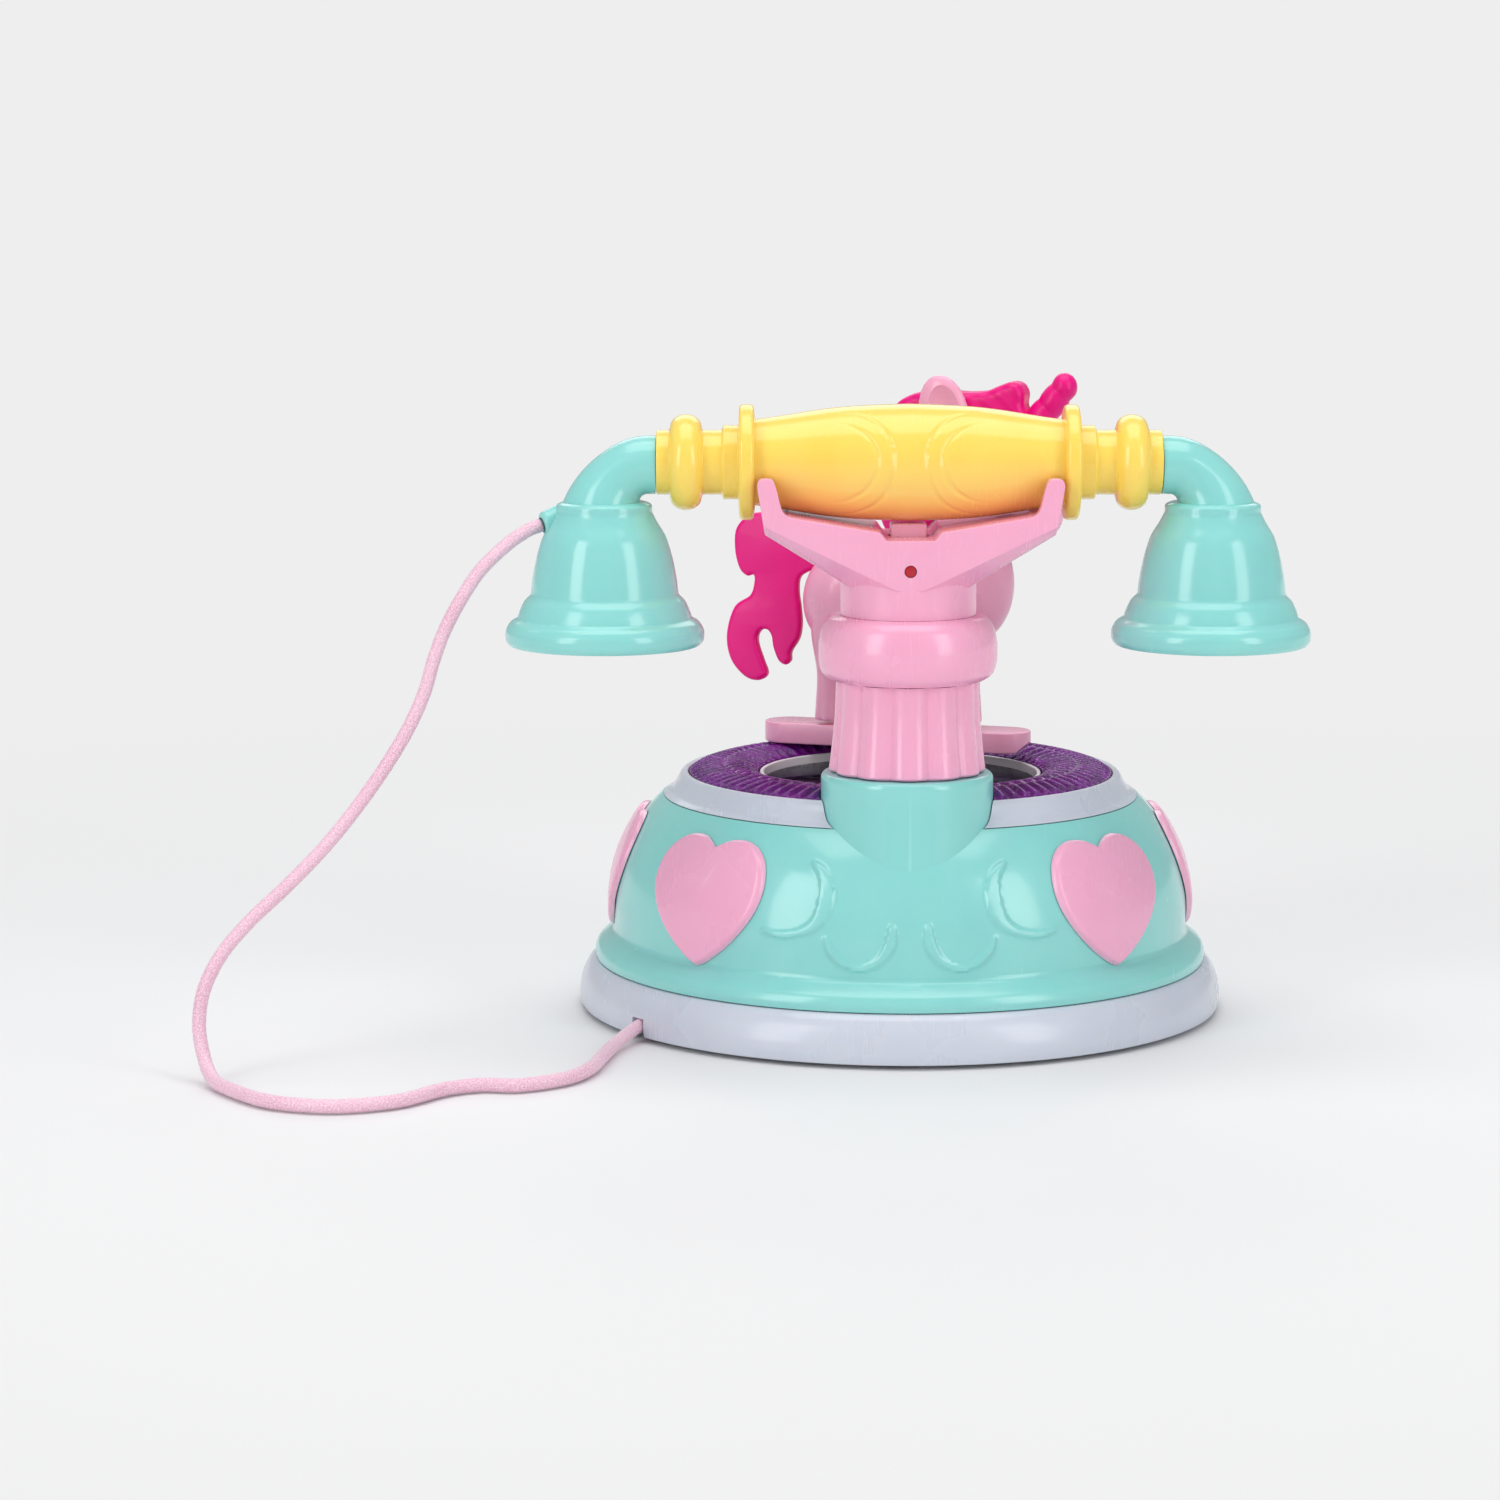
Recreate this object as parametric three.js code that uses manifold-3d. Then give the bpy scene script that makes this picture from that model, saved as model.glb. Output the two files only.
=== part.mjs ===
// A toy table telephone: a domed base with number keys, a fluted column with a forked cradle,
// a lift-off handset on a braided cord, and a unicorn on a motor-driven turntable.
// Units are millimetres. The origin is the middle of the underside, +Z is up, and the player sits at -Y.
import * as THREE from 'three';
import { mergeVertices } from 'three/addons/utils/BufferGeometryUtils.js';
import Module from 'manifold-3d';

const wasm = await Module();
wasm.setup();

// ---- driving dimensions -------------------------------------------------------------------

const GAP = 0.3; // space kept between pieces that touch
const DEG = Math.PI / 180;
const ROUND = 32; // sides of the large turned pieces
const FINE = 18; // sides of the medium turned pieces
const SMALL = 10; // sides of the small round pieces

const base = {
  radius: 85.3, // skirt, the widest part
  skirtTop: 13.4,
  plateBottom: 1.2,
  plateTop: 3.4,
};

// The dome's side is upright, then an arc in the radius-height plane.
const dome = {
  radius: 76,
  arcRadius: 38.2,
  arcCentreRadius: 37.8,
  arcCentreHeight: 28,
  top: 56.6,
  wall: 2.7,
};

const ring = { inner: 37.8, outer: 56, bottom: 59.8, edge: 62.5, crest: 64.6 };
const dish = { radius: 37.3, floor: 60.2 };
const column = { y: 48.5, socketRadius: 21.9, socketTop: 69.7, spigotRadius: 15.9 };
const collar = { bottom: 93.4, top: 109.9, radius: 22.7 };
const cradle = { shaftRadius: 17.3, halfDepth: 17.2, top: 136, tipTop: 145.3 };
const handset = { y: column.y, z: 148.2, bellX: 76.6 };
const turntable = { y: -26, gearBottom: 51, gearTop: 54.5, turned: 161 * DEG };
const platform = { halfLength: 37.4, halfDepth: 7, bottom: 65.4, top: 71 };
const gear = { module: 1, wheelTeeth: 36, pinionTeeth: 12 };
const gearDistance = (gear.module * (gear.wheelTeeth + gear.pinionTeeth)) / 2;
const motor = { x: 0, y: turntable.y + gearDistance, radius: 10, bottom: 22, top: 47 };
const keyShape = { radius: 5.2, hole: 5.6, proud: 2.4 };
const cordRadius = 1.75;
const notchAzimuth = 36.3 * DEG;

// ---- materials ----------------------------------------------------------------------------

const plastic = (color, roughness = 0.25) =>
  new THREE.MeshStandardMaterial({ color, roughness, metalness: 0 });
const metal = (color, roughness = 0.35) =>
  new THREE.MeshStandardMaterial({ color, roughness, metalness: 1 });

const turquoise = plastic(0x9be3da);
const pink = plastic(0xf8b4d0);
const magenta = plastic(0xf02a98);
const yellow = plastic(0xfeea78);
const lavender = plastic(0xd2d6e2);
const glitterPurple = plastic(0x78289a, 0.2);
const smokedMirror = plastic(0x2a2432, 0.05);
const whitePlastic = plastic(0xf2f2f2, 0.4);
const blackPlastic = plastic(0x222222, 0.5);
const boardGreen = plastic(0x1f6b3a, 0.6);
const crimson = plastic(0xb81428, 0.3);
const rubber = plastic(0x505058, 0.9);
const satinCord = plastic(0xe8b9cd, 0.6);
const steel = metal(0xb8bcc2);
const batteryJacket = plastic(0x3a6ea8, 0.4);

// ---- solid helpers ------------------------------------------------------------------------

// Makes a manifold solid from a closed three.js geometry, whichever way its faces are wound.
function solid(geometry) {
  geometry.deleteAttribute('normal');
  geometry.deleteAttribute('uv');
  const merged = mergeVertices(geometry, 1e-4);
  const vertProperties = new Float32Array(merged.attributes.position.array);
  const triVerts = new Uint32Array(merged.index.array);
  if (signedVolume(vertProperties, triVerts) < 0) triVerts.reverse();
  return new wasm.Manifold(new wasm.Mesh({ numProp: 3, vertProperties, triVerts }));
}

function signedVolume(positions, triangles) {
  const [a, b, c] = [new THREE.Vector3(), new THREE.Vector3(), new THREE.Vector3()];
  let volume = 0;
  for (let i = 0; i < triangles.length; i += 3) {
    a.fromArray(positions, triangles[i] * 3);
    b.fromArray(positions, triangles[i + 1] * 3);
    c.fromArray(positions, triangles[i + 2] * 3);
    volume += a.dot(b.cross(c)) / 6;
  }
  return volume;
}

function geometryOf(shape) {
  const mesh = shape.getMesh();
  const geometry = new THREE.BufferGeometry();
  geometry.setAttribute('position', new THREE.BufferAttribute(mesh.vertProperties, 3));
  geometry.setIndex(new THREE.BufferAttribute(mesh.triVerts, 1));
  const flat = geometry.toNonIndexed();
  flat.computeVertexNormals();
  return flat;
}

function addPart(parent, name, shape, material) {
  const mesh = new THREE.Mesh(geometryOf(shape), material);
  mesh.name = name;
  parent.add(mesh);
  return mesh;
}

// A solid turned about Z from [radius, height] pairs that start and end on the axis or close a loop.
function turned(profile, sides = ROUND) {
  const points = profile.map(([radius, height]) => new THREE.Vector2(radius, height));
  if (profile[0][0] > 0) points.push(points[0].clone());
  return solid(new THREE.LatheGeometry(points, sides).rotateX(Math.PI / 2));
}

// The same, turned about X: each pair is [radius, distance along X].
const turnedAlongX = (profile, sides) => turned(profile, sides).rotate([0, 90, 0]);

const disc = (radius, from, to, sides = SMALL) =>
  turned([[0, from], [radius, from], [radius, to], [0, to]], sides);

const tube = (inner, outer, from, to, sides = SMALL) =>
  turned([[inner, from], [outer, from], [outer, to], [inner, to]], sides);

const block = (width, depth, from, to) =>
  solid(new THREE.BoxGeometry(width, depth, to - from).translate(0, 0, (from + to) / 2));

// An outline drawn in X and Z, given thickness along Y.
function plateXZ(shape, yFrom, yTo, curveSegments = 6) {
  const options = { depth: yTo - yFrom, bevelEnabled: false, curveSegments };
  return solid(new THREE.ExtrudeGeometry(shape, options).rotateX(Math.PI / 2).translate(0, yTo, 0));
}

// An outline drawn in X and Y, given thickness along Z.
function plateXY(shape, from, to, curveSegments = 6) {
  const options = { depth: to - from, bevelEnabled: false, curveSegments };
  return solid(new THREE.ExtrudeGeometry(shape, options).translate(0, 0, from));
}

const outline = (points) => new THREE.Shape(points.map(([x, y]) => new THREE.Vector2(x, y)));

// A skin over closed rings of points that all have the same count, with flat ends.
function lofted(rings) {
  const count = rings[0].length;
  const positions = rings.flat().flatMap((point) => [point.x, point.y, point.z]);
  const triangles = [];
  for (let row = 0; row < rings.length - 1; row += 1) {
    for (let i = 0; i < count; i += 1) {
      const here = row * count + i;
      const next = row * count + ((i + 1) % count);
      triangles.push(here, next, next + count, here, next + count, here + count);
    }
  }
  const last = (rings.length - 1) * count;
  for (let i = 1; i < count - 1; i += 1) {
    triangles.push(0, i + 1, i, last, last + i, last + i + 1);
  }
  const geometry = new THREE.BufferGeometry();
  geometry.setAttribute('position', new THREE.Float32BufferAttribute(positions, 3));
  geometry.setIndex(triangles);
  return solid(geometry);
}

const ellipsoid = (centre, radii, grow = 0, sides = 14) =>
  solid(new THREE.SphereGeometry(1, sides, Math.round(sides * 0.6))
    .rotateX(Math.PI / 2)
    .scale(radii[0] + grow, radii[1] + grow, radii[2] + grow)
    .translate(...centre));

// A round bar between two points, with its own radius at each end.
function bar(start, end, startRadius, endRadius, sides = 8) {
  const from = new THREE.Vector3(...start);
  const to = new THREE.Vector3(...end);
  const along = to.clone().sub(from);
  const upright = new THREE.Vector3(0, 1, 0);
  const turn = new THREE.Quaternion().setFromUnitVectors(upright, along.clone().normalize());
  const middle = from.clone().lerp(to, 0.5);
  return solid(new THREE.CylinderGeometry(endRadius, startRadius, along.length(), sides)
    .applyQuaternion(turn)
    .translate(middle.x, middle.y, middle.z));
}

const unionOf = (shapes) => shapes.reduce((whole, piece) => whole.add(piece));
const atColumn = (shape) => shape.translate([0, column.y, 0]);

// ---- the dome's surface -------------------------------------------------------------------

// Outline of the dome's side, moved out by the given distance, from the bead up to the top.
function domeSide(offset, steps = 5) {
  const { arcCentreRadius, arcCentreHeight, arcRadius, top } = dome;
  const radius = arcRadius + offset;
  const end = Math.asin((top - arcCentreHeight) / radius);
  const points = [];
  for (let i = 0; i <= steps; i += 1) {
    const angle = (end * i) / steps;
    const [across, up] = [radius * Math.cos(angle), radius * Math.sin(angle)];
    points.push([arcCentreRadius + across, arcCentreHeight + up]);
  }
  return points;
}

// Places a shape made about +Z on the dome: its Z becomes the surface normal at that spot.
function onDome(shape, azimuth, slope) {
  const radius = dome.arcCentreRadius + dome.arcRadius * Math.cos(slope);
  const height = dome.arcCentreHeight + dome.arcRadius * Math.sin(slope);
  return shape
    .rotate([0, 90 - slope / DEG, 0])
    .translate([radius, 0, height])
    .rotate([0, 0, azimuth / DEG]);
}

// ---- base ---------------------------------------------------------------------------------

const socketHole = atColumn(disc(column.socketRadius + GAP, 50, 80, FINE));

const cordNotch = block(10, 6, 0, 7.6)
  .translate([base.radius - 3, 0, 0])
  .rotate([0, 0, notchAzimuth / DEG]);

function makeSkirt() {
  const { radius, skirtTop, plateBottom } = base;
  return turned([
    [81.6, plateBottom],
    [radius - 0.4, plateBottom],
    [radius, plateBottom + 2.2],
    [radius - 0.2, 6.6],
    [radius - 1.1, 9.6],
    [radius - 2.8, 12.3],
    [radius - 4.2, skirtTop],
    [78.4, skirtTop],
    [78.4, 10.4],
    [81.6, 8],
  ]).subtract(cordNotch);
}

const bay = { width: 56, depth: 34, y: -12 }; // opening for the batteries
const slot = { x: -52, y: 0, width: 10.6, depth: 5.2 }; // opening for the power switch

// The battery box is moulded in one with the bottom plate.
function makeBottomPlate() {
  const { plateBottom, plateTop } = base;
  const box = block(bay.width + 4, bay.depth + 4, plateTop - 1, 21.5).translate([0, bay.y, 0]);
  const cells = block(bay.width, bay.depth, 0, 19.5).translate([0, bay.y, 0]);
  const switchSlot = block(slot.width, slot.depth, 0, 5).translate([slot.x, slot.y, 0]);
  return disc(81.2, plateBottom, plateTop, ROUND)
    .add(box)
    .subtract(cells)
    .subtract(switchSlot)
    .subtract(cordNotch);
}

const makeBatteryCover = () =>
  block(bay.width - 2 * GAP, bay.depth - 2 * GAP, base.plateBottom, base.plateTop)
    .subtract(disc(1.9, 0, 5))
    .translate([0, bay.y, 0]);

function makeBattery(index) {
  const cell = { radius: 7.1, length: 48 };
  return turnedAlongX([
    [0, -cell.length / 2],
    [cell.radius, -cell.length / 2],
    [cell.radius, cell.length / 2],
    [2.7, cell.length / 2],
    [2.7, cell.length / 2 + 2],
    [0, cell.length / 2 + 2],
  ], SMALL).translate([-1, bay.y + (index - 0.5) * 15.4, 11.8]);
}

// A machine screw on its own axis: the head below, the thread above.
const screw = (headRadius, threadRadius, headFrom, headTo, tip) =>
  disc(headRadius, headFrom, headTo).add(disc(threadRadius, headTo - 0.5, tip));

function makeDome() {
  const bead = [[80.9, base.skirtTop + GAP], [81.2, 15.4], [80.5, 17.4], [78.4, 19], [76.5, 20.3]];
  const outer = turned([
    [0, bead[0][1]],
    ...bead,
    [dome.radius, 21.2],
    ...domeSide(0),
    [0, dome.top],
  ]);
  const inner = turned([
    [0, 10],
    [78, 10],
    [78, 14.6],
    [dome.radius - dome.wall, 17.6],
    ...domeSide(-dome.wall),
    [0, dome.top],
  ]);
  const { socketRadius, socketTop, spigotRadius } = column;
  const socket = turned([
    [0, 42],
    [socketRadius, 42],
    [socketRadius, socketTop - 1.6],
    [socketRadius - 0.5, socketTop - 0.5],
    [socketRadius - 1.6, socketTop],
    [0, socketTop],
  ], FINE);
  const bore = disc(spigotRadius + GAP, 57.5, 75, FINE);
  let shell = outer.add(atColumn(socket)).subtract(inner).subtract(atColumn(bore));
  shell = shell.subtract(disc(1.9, 50, 60, 8).translate([0, column.y - 10, 0]));
  for (const { azimuth, slope } of keyPlaces()) {
    shell = shell.subtract(onDome(disc(keyShape.hole, -10, 10), azimuth, slope));
  }
  return shell;
}

function makeBezel() {
  return turned([
    [55.2, 57.6],
    [52.5, 57.6],
    [52.5, ring.bottom - GAP],
    [ring.outer + GAP, ring.bottom - GAP],
    [ring.outer + GAP, 62.4],
    [57.3, 62.9],
    [58.3, 62.2],
    [59.4, 60],
    [60.6, 58.1],
    [62.6, dome.top + GAP],
    [58.4, dome.top + GAP],
    [58.4, 54.9],
    [55.2, 54.9],
  ]).subtract(socketHole);
}

function makeGlitterRing() {
  const { inner, outer, bottom, edge, crest } = ring;
  const middle = (inner + outer) / 2;
  return turned([
    [inner, bottom],
    [outer, bottom],
    [outer, edge],
    [middle + 5, crest - 0.6],
    [middle, crest],
    [middle - 5, crest - 0.4],
    [inner, edge],
  ]).subtract(socketHole);
}

function makeDish() {
  return turned([
    [34, dish.floor - 2],
    [41, dish.floor - 2.6],
    [41, ring.bottom - GAP],
    [dish.radius, ring.bottom - GAP],
    [dish.radius, 62.6],
    [36.4, 62.6],
    [34, dish.floor + 0.6],
  ]).subtract(socketHole);
}

function makeMirror() {
  const shaftHole = disc(3.4, 40, 80).translate([0, turntable.y, 0]);
  return disc(34 - GAP, dish.floor - 1.6, dish.floor, ROUND)
    .subtract(socketHole)
    .subtract(shaftHole);
}

// A heart with rounded lobes and a shallow notch, as wide and as tall as the plates on the dome.
function heartOutline() {
  const [halfWidth, top, tip, notch] = [18.6, 16.2, -17.2, 13.1];
  const shape = new THREE.Shape();
  shape.moveTo(0, tip);
  shape.bezierCurveTo(5, tip + 4, halfWidth, -6, halfWidth, 4.5);
  shape.bezierCurveTo(halfWidth, 12.5, 14, top, 9.6, top);
  shape.bezierCurveTo(5, top, 2, notch + 1.4, 0, notch);
  shape.bezierCurveTo(-2, notch + 1.4, -5, top, -9.6, top);
  shape.bezierCurveTo(-14, top, -halfWidth, 12.5, -halfWidth, 4.5);
  shape.bezierCurveTo(-halfWidth, -6, -5, tip + 4, 0, tip);
  return shape;
}

// Each heart is a curved plate that lies just off the dome.
function makeHeart(azimuth) {
  const slope = 15 * DEG;
  const outside = domeSide(GAP + 1.5).reverse();
  const band = turned([
    ...outside,
    [dome.radius + GAP + 1.5, 21.4],
    [dome.radius + GAP, 21.4],
    ...domeSide(GAP),
  ]);
  const prism = plateXY(heartOutline(), -14, 12, 3).rotate([0, 0, 90]);
  return band.intersect(onDome(prism, azimuth, slope));
}

const heartAzimuths = {
  heart_back_left: 90 - 44.3,
  heart_back_right: 90 + 44.3,
  heart_left: -2,
  heart_right: 182,
};

// ---- keys ---------------------------------------------------------------------------------

// Two rows of five round keys across the front, 1 to 5 above and 6 to 0 below.
function keyPlaces() {
  const places = [];
  for (let digit = 1; digit <= 10; digit += 1) {
    const row = digit <= 5 ? 0 : 1;
    const across = ((digit - 1) % 5) - 2;
    places.push({
      name: `key_${digit % 10}`,
      azimuth: (-90 + across * 12) * DEG,
      slope: (row === 0 ? 35 : 11) * DEG,
    });
  }
  return places;
}

function makeKey({ azimuth, slope }) {
  const { radius, proud } = keyShape;
  const top = [[radius, proud - 0.7], [radius - 0.8, proud], [0, proud]];
  const cap = turned([[0, -5], [radius, -5], ...top], SMALL);
  const flange = disc(radius + 0.9, -5.6, -4.4);
  return onDome(cap.add(flange), azimuth, slope);
}

// ---- turntable drive ----------------------------------------------------------------------

// A spur gear outline: straight-sided teeth with running clearance, the first tooth on +X.
function gearOutline(teeth) {
  const pitch = (gear.module * teeth) / 2;
  const sides = [
    { radius: pitch - 1.2, half: 0.98 },
    { radius: pitch + 0.72, half: 0.34 },
  ];
  const points = [];
  for (let tooth = 0; tooth < teeth; tooth += 1) {
    const middle = (tooth * 2 * Math.PI) / teeth;
    const rising = sides.map(({ radius, half }) => [radius, middle - half / radius]);
    const falling = sides.map(({ radius, half }) => [radius, middle + half / radius]).reverse();
    for (const [radius, angle] of [...rising, ...falling]) {
      points.push([radius * Math.cos(angle), radius * Math.sin(angle)]);
    }
  }
  return outline(points);
}

// The wheel has a gap towards +Y and the pinion a tooth towards -Y, so they start in mesh.
function makeWheel() {
  const halfTooth = 180 / gear.wheelTeeth;
  const wheel = plateXY(gearOutline(gear.wheelTeeth), turntable.gearBottom, turntable.gearTop)
    .rotate([0, 0, 90 + halfTooth]);
  return wheel.subtract(disc(3.3, 40, 60)).translate([0, turntable.y, 0]);
}

// The pinion is moulded onto the motor's spindle.
function makePinion() {
  return plateXY(gearOutline(gear.pinionTeeth), turntable.gearBottom, turntable.gearTop)
    .rotate([0, 0, -90])
    .add(disc(1.2, motor.top - 2.6, turntable.gearTop + 1.5, 8))
    .translate([motor.x, motor.y, 0]);
}

// The shaft carries a foot that the platform stands on.
const makeTurntableShaft = () =>
  disc(3, 46.5, 62.6)
    .add(disc(7, 61.4, platform.bottom - GAP))
    .translate([0, turntable.y, 0]);

const makeMotor = () =>
  disc(motor.radius, motor.bottom, motor.top, FINE)
    .subtract(disc(2, motor.top - 3, 60))
    .translate([motor.x, motor.y, 0]);

// ---- column and cradle --------------------------------------------------------------------

// The lower column has twelve convex flutes and widens a little towards its foot.
function makeColumnLower() {
  const flutes = 12;
  const pointsPerFlute = 4;
  const levels = [
    [column.socketTop + GAP, 19.9],
    [76, 19.2],
    [84, 18.4],
    [collar.bottom - GAP, 18.1],
  ];
  const rings = levels.map(([height, radius]) => {
    const points = [];
    for (let i = 0; i < flutes * pointsPerFlute; i += 1) {
      const angle = ((i / pointsPerFlute + 0.5) / flutes) * 2 * Math.PI;
      const across = ((i % pointsPerFlute) / pointsPerFlute) * 2 - 1;
      const reach = radius - 1.3 * across * across;
      points.push(new THREE.Vector3(reach * Math.cos(angle), reach * Math.sin(angle), height));
    }
    return points;
  });
  const spigot = disc(column.spigotRadius, 57.8, 71, FINE);
  const neck = disc(14.4, collar.bottom - 1, collar.top, FINE);
  const switchBore = disc(8, 96, 120, SMALL);
  const wireBore = disc(3, 50, 97, 8);
  const screwBore = disc(1.7, 50, 66, 8).translate([0, -10, 0]);
  let whole = lofted(rings).add(spigot).add(neck);
  for (const bore of [switchBore, wireBore, screwBore]) whole = whole.subtract(bore);
  return atColumn(whole);
}

function makeCollar() {
  const { bottom, top, radius } = collar;
  const middle = (bottom + top) / 2;
  return atColumn(turned([
    [14.7, bottom],
    [19.6, bottom],
    [21.8, bottom + 1.4],
    [radius, bottom + 4],
    [radius, middle + 2],
    [21.8, top - 2.6],
    [20, top - 0.7],
    [18.4, top],
    [14.7, top],
  ], FINE));
}

// The fork as seen from behind: two arms that rise to prongs, with a notch for the hook between.
function forkOutline() {
  const right = [
    [14.6, 117.4],
    [36.2, 131.2],
    [38.2, 144],
    [37.2, cradle.tipTop],
    [34.8, cradle.tipTop],
    [33.7, 144],
    [31.7, cradle.top],
    [7.6, 132],
    [6.1, 129.9],
  ];
  const left = right.map(([x, z]) => [-x, z]).reverse();
  return outline([...right, ...left]);
}

// The fork's underside slants back from a V on each flat face and so meets the round shaft.
function makeFork() {
  const depth = cradle.halfDepth;
  const slant = new THREE.Plane().setFromCoplanarPoints(
    new THREE.Vector3(2.6, depth, 117.1),
    new THREE.Vector3(14.6, 9, 117.4),
    new THREE.Vector3(35.9, depth, 133.2),
  );
  if (slant.normal.z < 0) slant.negate();
  const { x, y, z } = slant.normal;
  let fork = plateXZ(forkOutline(), -depth, depth);
  for (const [across, back] of [[1, 1], [-1, 1], [1, -1], [-1, -1]]) {
    fork = fork.trimByPlane([x * across, y * back, z], -slant.constant);
  }
  return fork;
}

// Turns a disc made about Z to point out of the flat back face, at the plug's height.
const facingBack = (shape) => shape.rotate([-90, 0, 0]).translate([0, 0, 122.3]);

function makeCradle() {
  const shaft = disc(cradle.shaftRadius, collar.top + GAP, 124, FINE);
  const barrelTrough = block(120, 23.8, cradle.top, cradle.tipTop + 5);
  const hookWay = block(9.9, 8.8, 100, 140);
  const plugHole = facingBack(disc(1.55, 9, 30));
  return makeFork().add(shaft).subtract(barrelTrough).subtract(hookWay).subtract(plugHole);
}

function cradleHalf(side) {
  const keep = block(100, 40, 90, 160).translate([0, side * (20 + GAP), 0]);
  return atColumn(makeCradle().intersect(keep));
}

const makeCradlePlug = () => atColumn(facingBack(disc(1.25, 12.6, 16.8)));

const hook = { bottom: 117.8, top: 133.1 };

const makeHookPlunger = () => atColumn(block(9.1, 8, hook.bottom, hook.top));

function makeHookSpring() {
  const steps = 24;
  const points = [];
  for (let i = 0; i <= steps; i += 1) {
    const angle = (i / 6) * 2 * Math.PI;
    const height = 103.2 + (i / steps) * 13.8;
    points.push(new THREE.Vector3(3.2 * Math.cos(angle), 3.2 * Math.sin(angle), height));
  }
  return atColumn(alongPath(points, 0.4, 4, steps));
}

const makeHookSwitch = () => atColumn(block(9, 7, 96.5, 102.4));

// A round cord or wire along a list of points.
function alongPath(points, radius, sides, steps) {
  const section = [];
  for (let i = 0; i < sides; i += 1) {
    const angle = (i / sides) * 2 * Math.PI;
    section.push([radius * Math.cos(angle), radius * Math.sin(angle)]);
  }
  const extrudePath = new THREE.CatmullRomCurve3(points);
  return solid(new THREE.ExtrudeGeometry(outline(section), { steps, extrudePath, bevelEnabled: false }));
}

// ---- handset ------------------------------------------------------------------------------

// Half of the handle's outline from the middle outwards: [radius, distance from the middle].
const handleHalf = [
  [14.7, 0],
  [14.2, 12],
  [13.2, 22],
  [11.8, 31],
  [10.8, 38.6],
  [14.5, 39.2],
  [14.5, 42.4],
  [9.3, 42.9],
  [9.3, 46.6],
  [8.1, 47],
  [8.1, 51.8],
  [10.6, 52.6],
  [12, 54.6],
  [12, 57.4],
  [10.6, 59.4],
  [8.1, 60.2],
  [8.1, 63.4],
];

function makeHandle() {
  const outside = [...handleHalf.map(([r, x]) => [r, -x]).reverse(), ...handleHalf.slice(1)];
  const end = 63.4;
  const bore = [
    [0, -end - 1],
    [5.6, -end - 1],
    [5.6, -46],
    [8.4, -36],
    [11.8, 0],
    [8.4, 36],
    [5.6, 46],
    [5.6, end + 1],
    [0, end + 1],
  ];
  const body = turnedAlongX([[0, -end], ...outside, [0, end]], FINE);
  return body.subtract(turnedAlongX(bore, SMALL));
}

function handleShell(side) {
  const keep = block(200, 40, -20, 20).translate([0, side * (20 + GAP / 2), 0]);
  return makeHandle().intersect(keep).translate([0, handset.y, handset.z]);
}

// The elbow sweeps about a pivot under the end of the handle and widens towards the bell.
// side is +1 or -1 along X.
function makeElbow(side) {
  const pivot = { x: 65.5, z: -9.6 };
  const inner = 2.2;
  const sides = 14;
  const steps = 6;
  const rings = [];
  for (let step = 0; step <= steps; step += 1) {
    const turn = (90 - (90 * step) / steps) * DEG;
    const outer = 15.6 + 5.9 * Math.max(0, 1 - turn / (62 * DEG)) ** 2;
    const middle = (outer + inner) / 2;
    const radius = (outer - inner) / 2;
    const points = [];
    for (let i = 0; i < sides; i += 1) {
      const angle = (i / sides) * 2 * Math.PI;
      const reach = middle + radius * Math.cos(angle);
      points.push(new THREE.Vector3(
        side * (pivot.x + reach * Math.cos(turn)),
        radius * Math.sin(angle),
        pivot.z + reach * Math.sin(turn),
      ));
    }
    rings.push(points);
  }
  const plug = turnedAlongX([[0, 50], [5.2, 50], [5.2, 66.5], [0, 66.5]], SMALL);
  const seat = turnedAlongX([[0, 63.8], [6.7, 63.8], [6.7, 66.5], [0, 66.5]], SMALL);
  const stub = plug.add(seat);
  const placedStub = side > 0 ? stub : stub.rotate([0, 0, 180]);
  return lofted(rings).add(placedStub).translate([0, handset.y, handset.z]);
}

// The bell hangs under the elbow: a collar, a shoulder, then a flared lip. Heights are absolute.
function makeBell(side) {
  const outside = [
    [10.6, 138.3],
    [12.1, 137.6],
    [12.1, 135.6],
    [13.4, 133],
    [15.6, 129.6],
    [17.2, 124.4],
    [18.5, 118.4],
    [18.8, 114.6],
    [21, 112.8],
    [22, 109.6],
    [24.6, 107.4],
    [25.3, 104.4],
    [24, 102],
  ];
  const inside = [[22.3, 102], [22.3, 105.4], [17.2, 112], [16, 120], [14, 129], [10, 134], [0, 134.6]];
  const bell = turned([[0, 138.3], ...outside, ...inside], FINE);
  return bell.translate([side * handset.bellX, handset.y, 0]);
}

const makeBellCap = (side) =>
  disc(22.3 - GAP, 102.8, 104.8, FINE).translate([side * handset.bellX, handset.y, 0]);

// The cord leaves the bell, hangs in a loose arc, lies on the table and enters the skirt's notch.
const cordRoute = [
  [92.6, 48.7, 132.4], [96, 50.4, 131.1], [101, 53.5, 127.8], [107.3, 57.3, 121.9], [112, 60, 115],
  [116, 62, 107.5], [118.8, 63.5, 100], [121.2, 65, 91.8], [125.2, 67, 83], [131, 70.2, 73.5],
  [138, 73.9, 63.8], [146, 78, 54.3], [154.6, 82.6, 45.8], [163, 87, 38.2], [169.6, 90.5, 30.6],
  [173.8, 92.8, 22.2], [175, 94, 13.5], [173.5, 97, 6], [170.5, 104, 2.3], [165.8, 112.5, 2],
  [156.3, 124.5, 2], [146.5, 129.8, 2], [136, 130.8, 2], [123.5, 125.2, 2], [113.5, 113, 2],
  [105, 108.5, 2], [95.5, 108.8, 2], [84.8, 101.5, 2], [79.4, 91, 2], [77, 79, 2],
  [74.6, 66.5, 2.2], [71.4, 56.8, 3], [68.4, 50.8, 4], [65.2, 47.7, 5],
];

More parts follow.
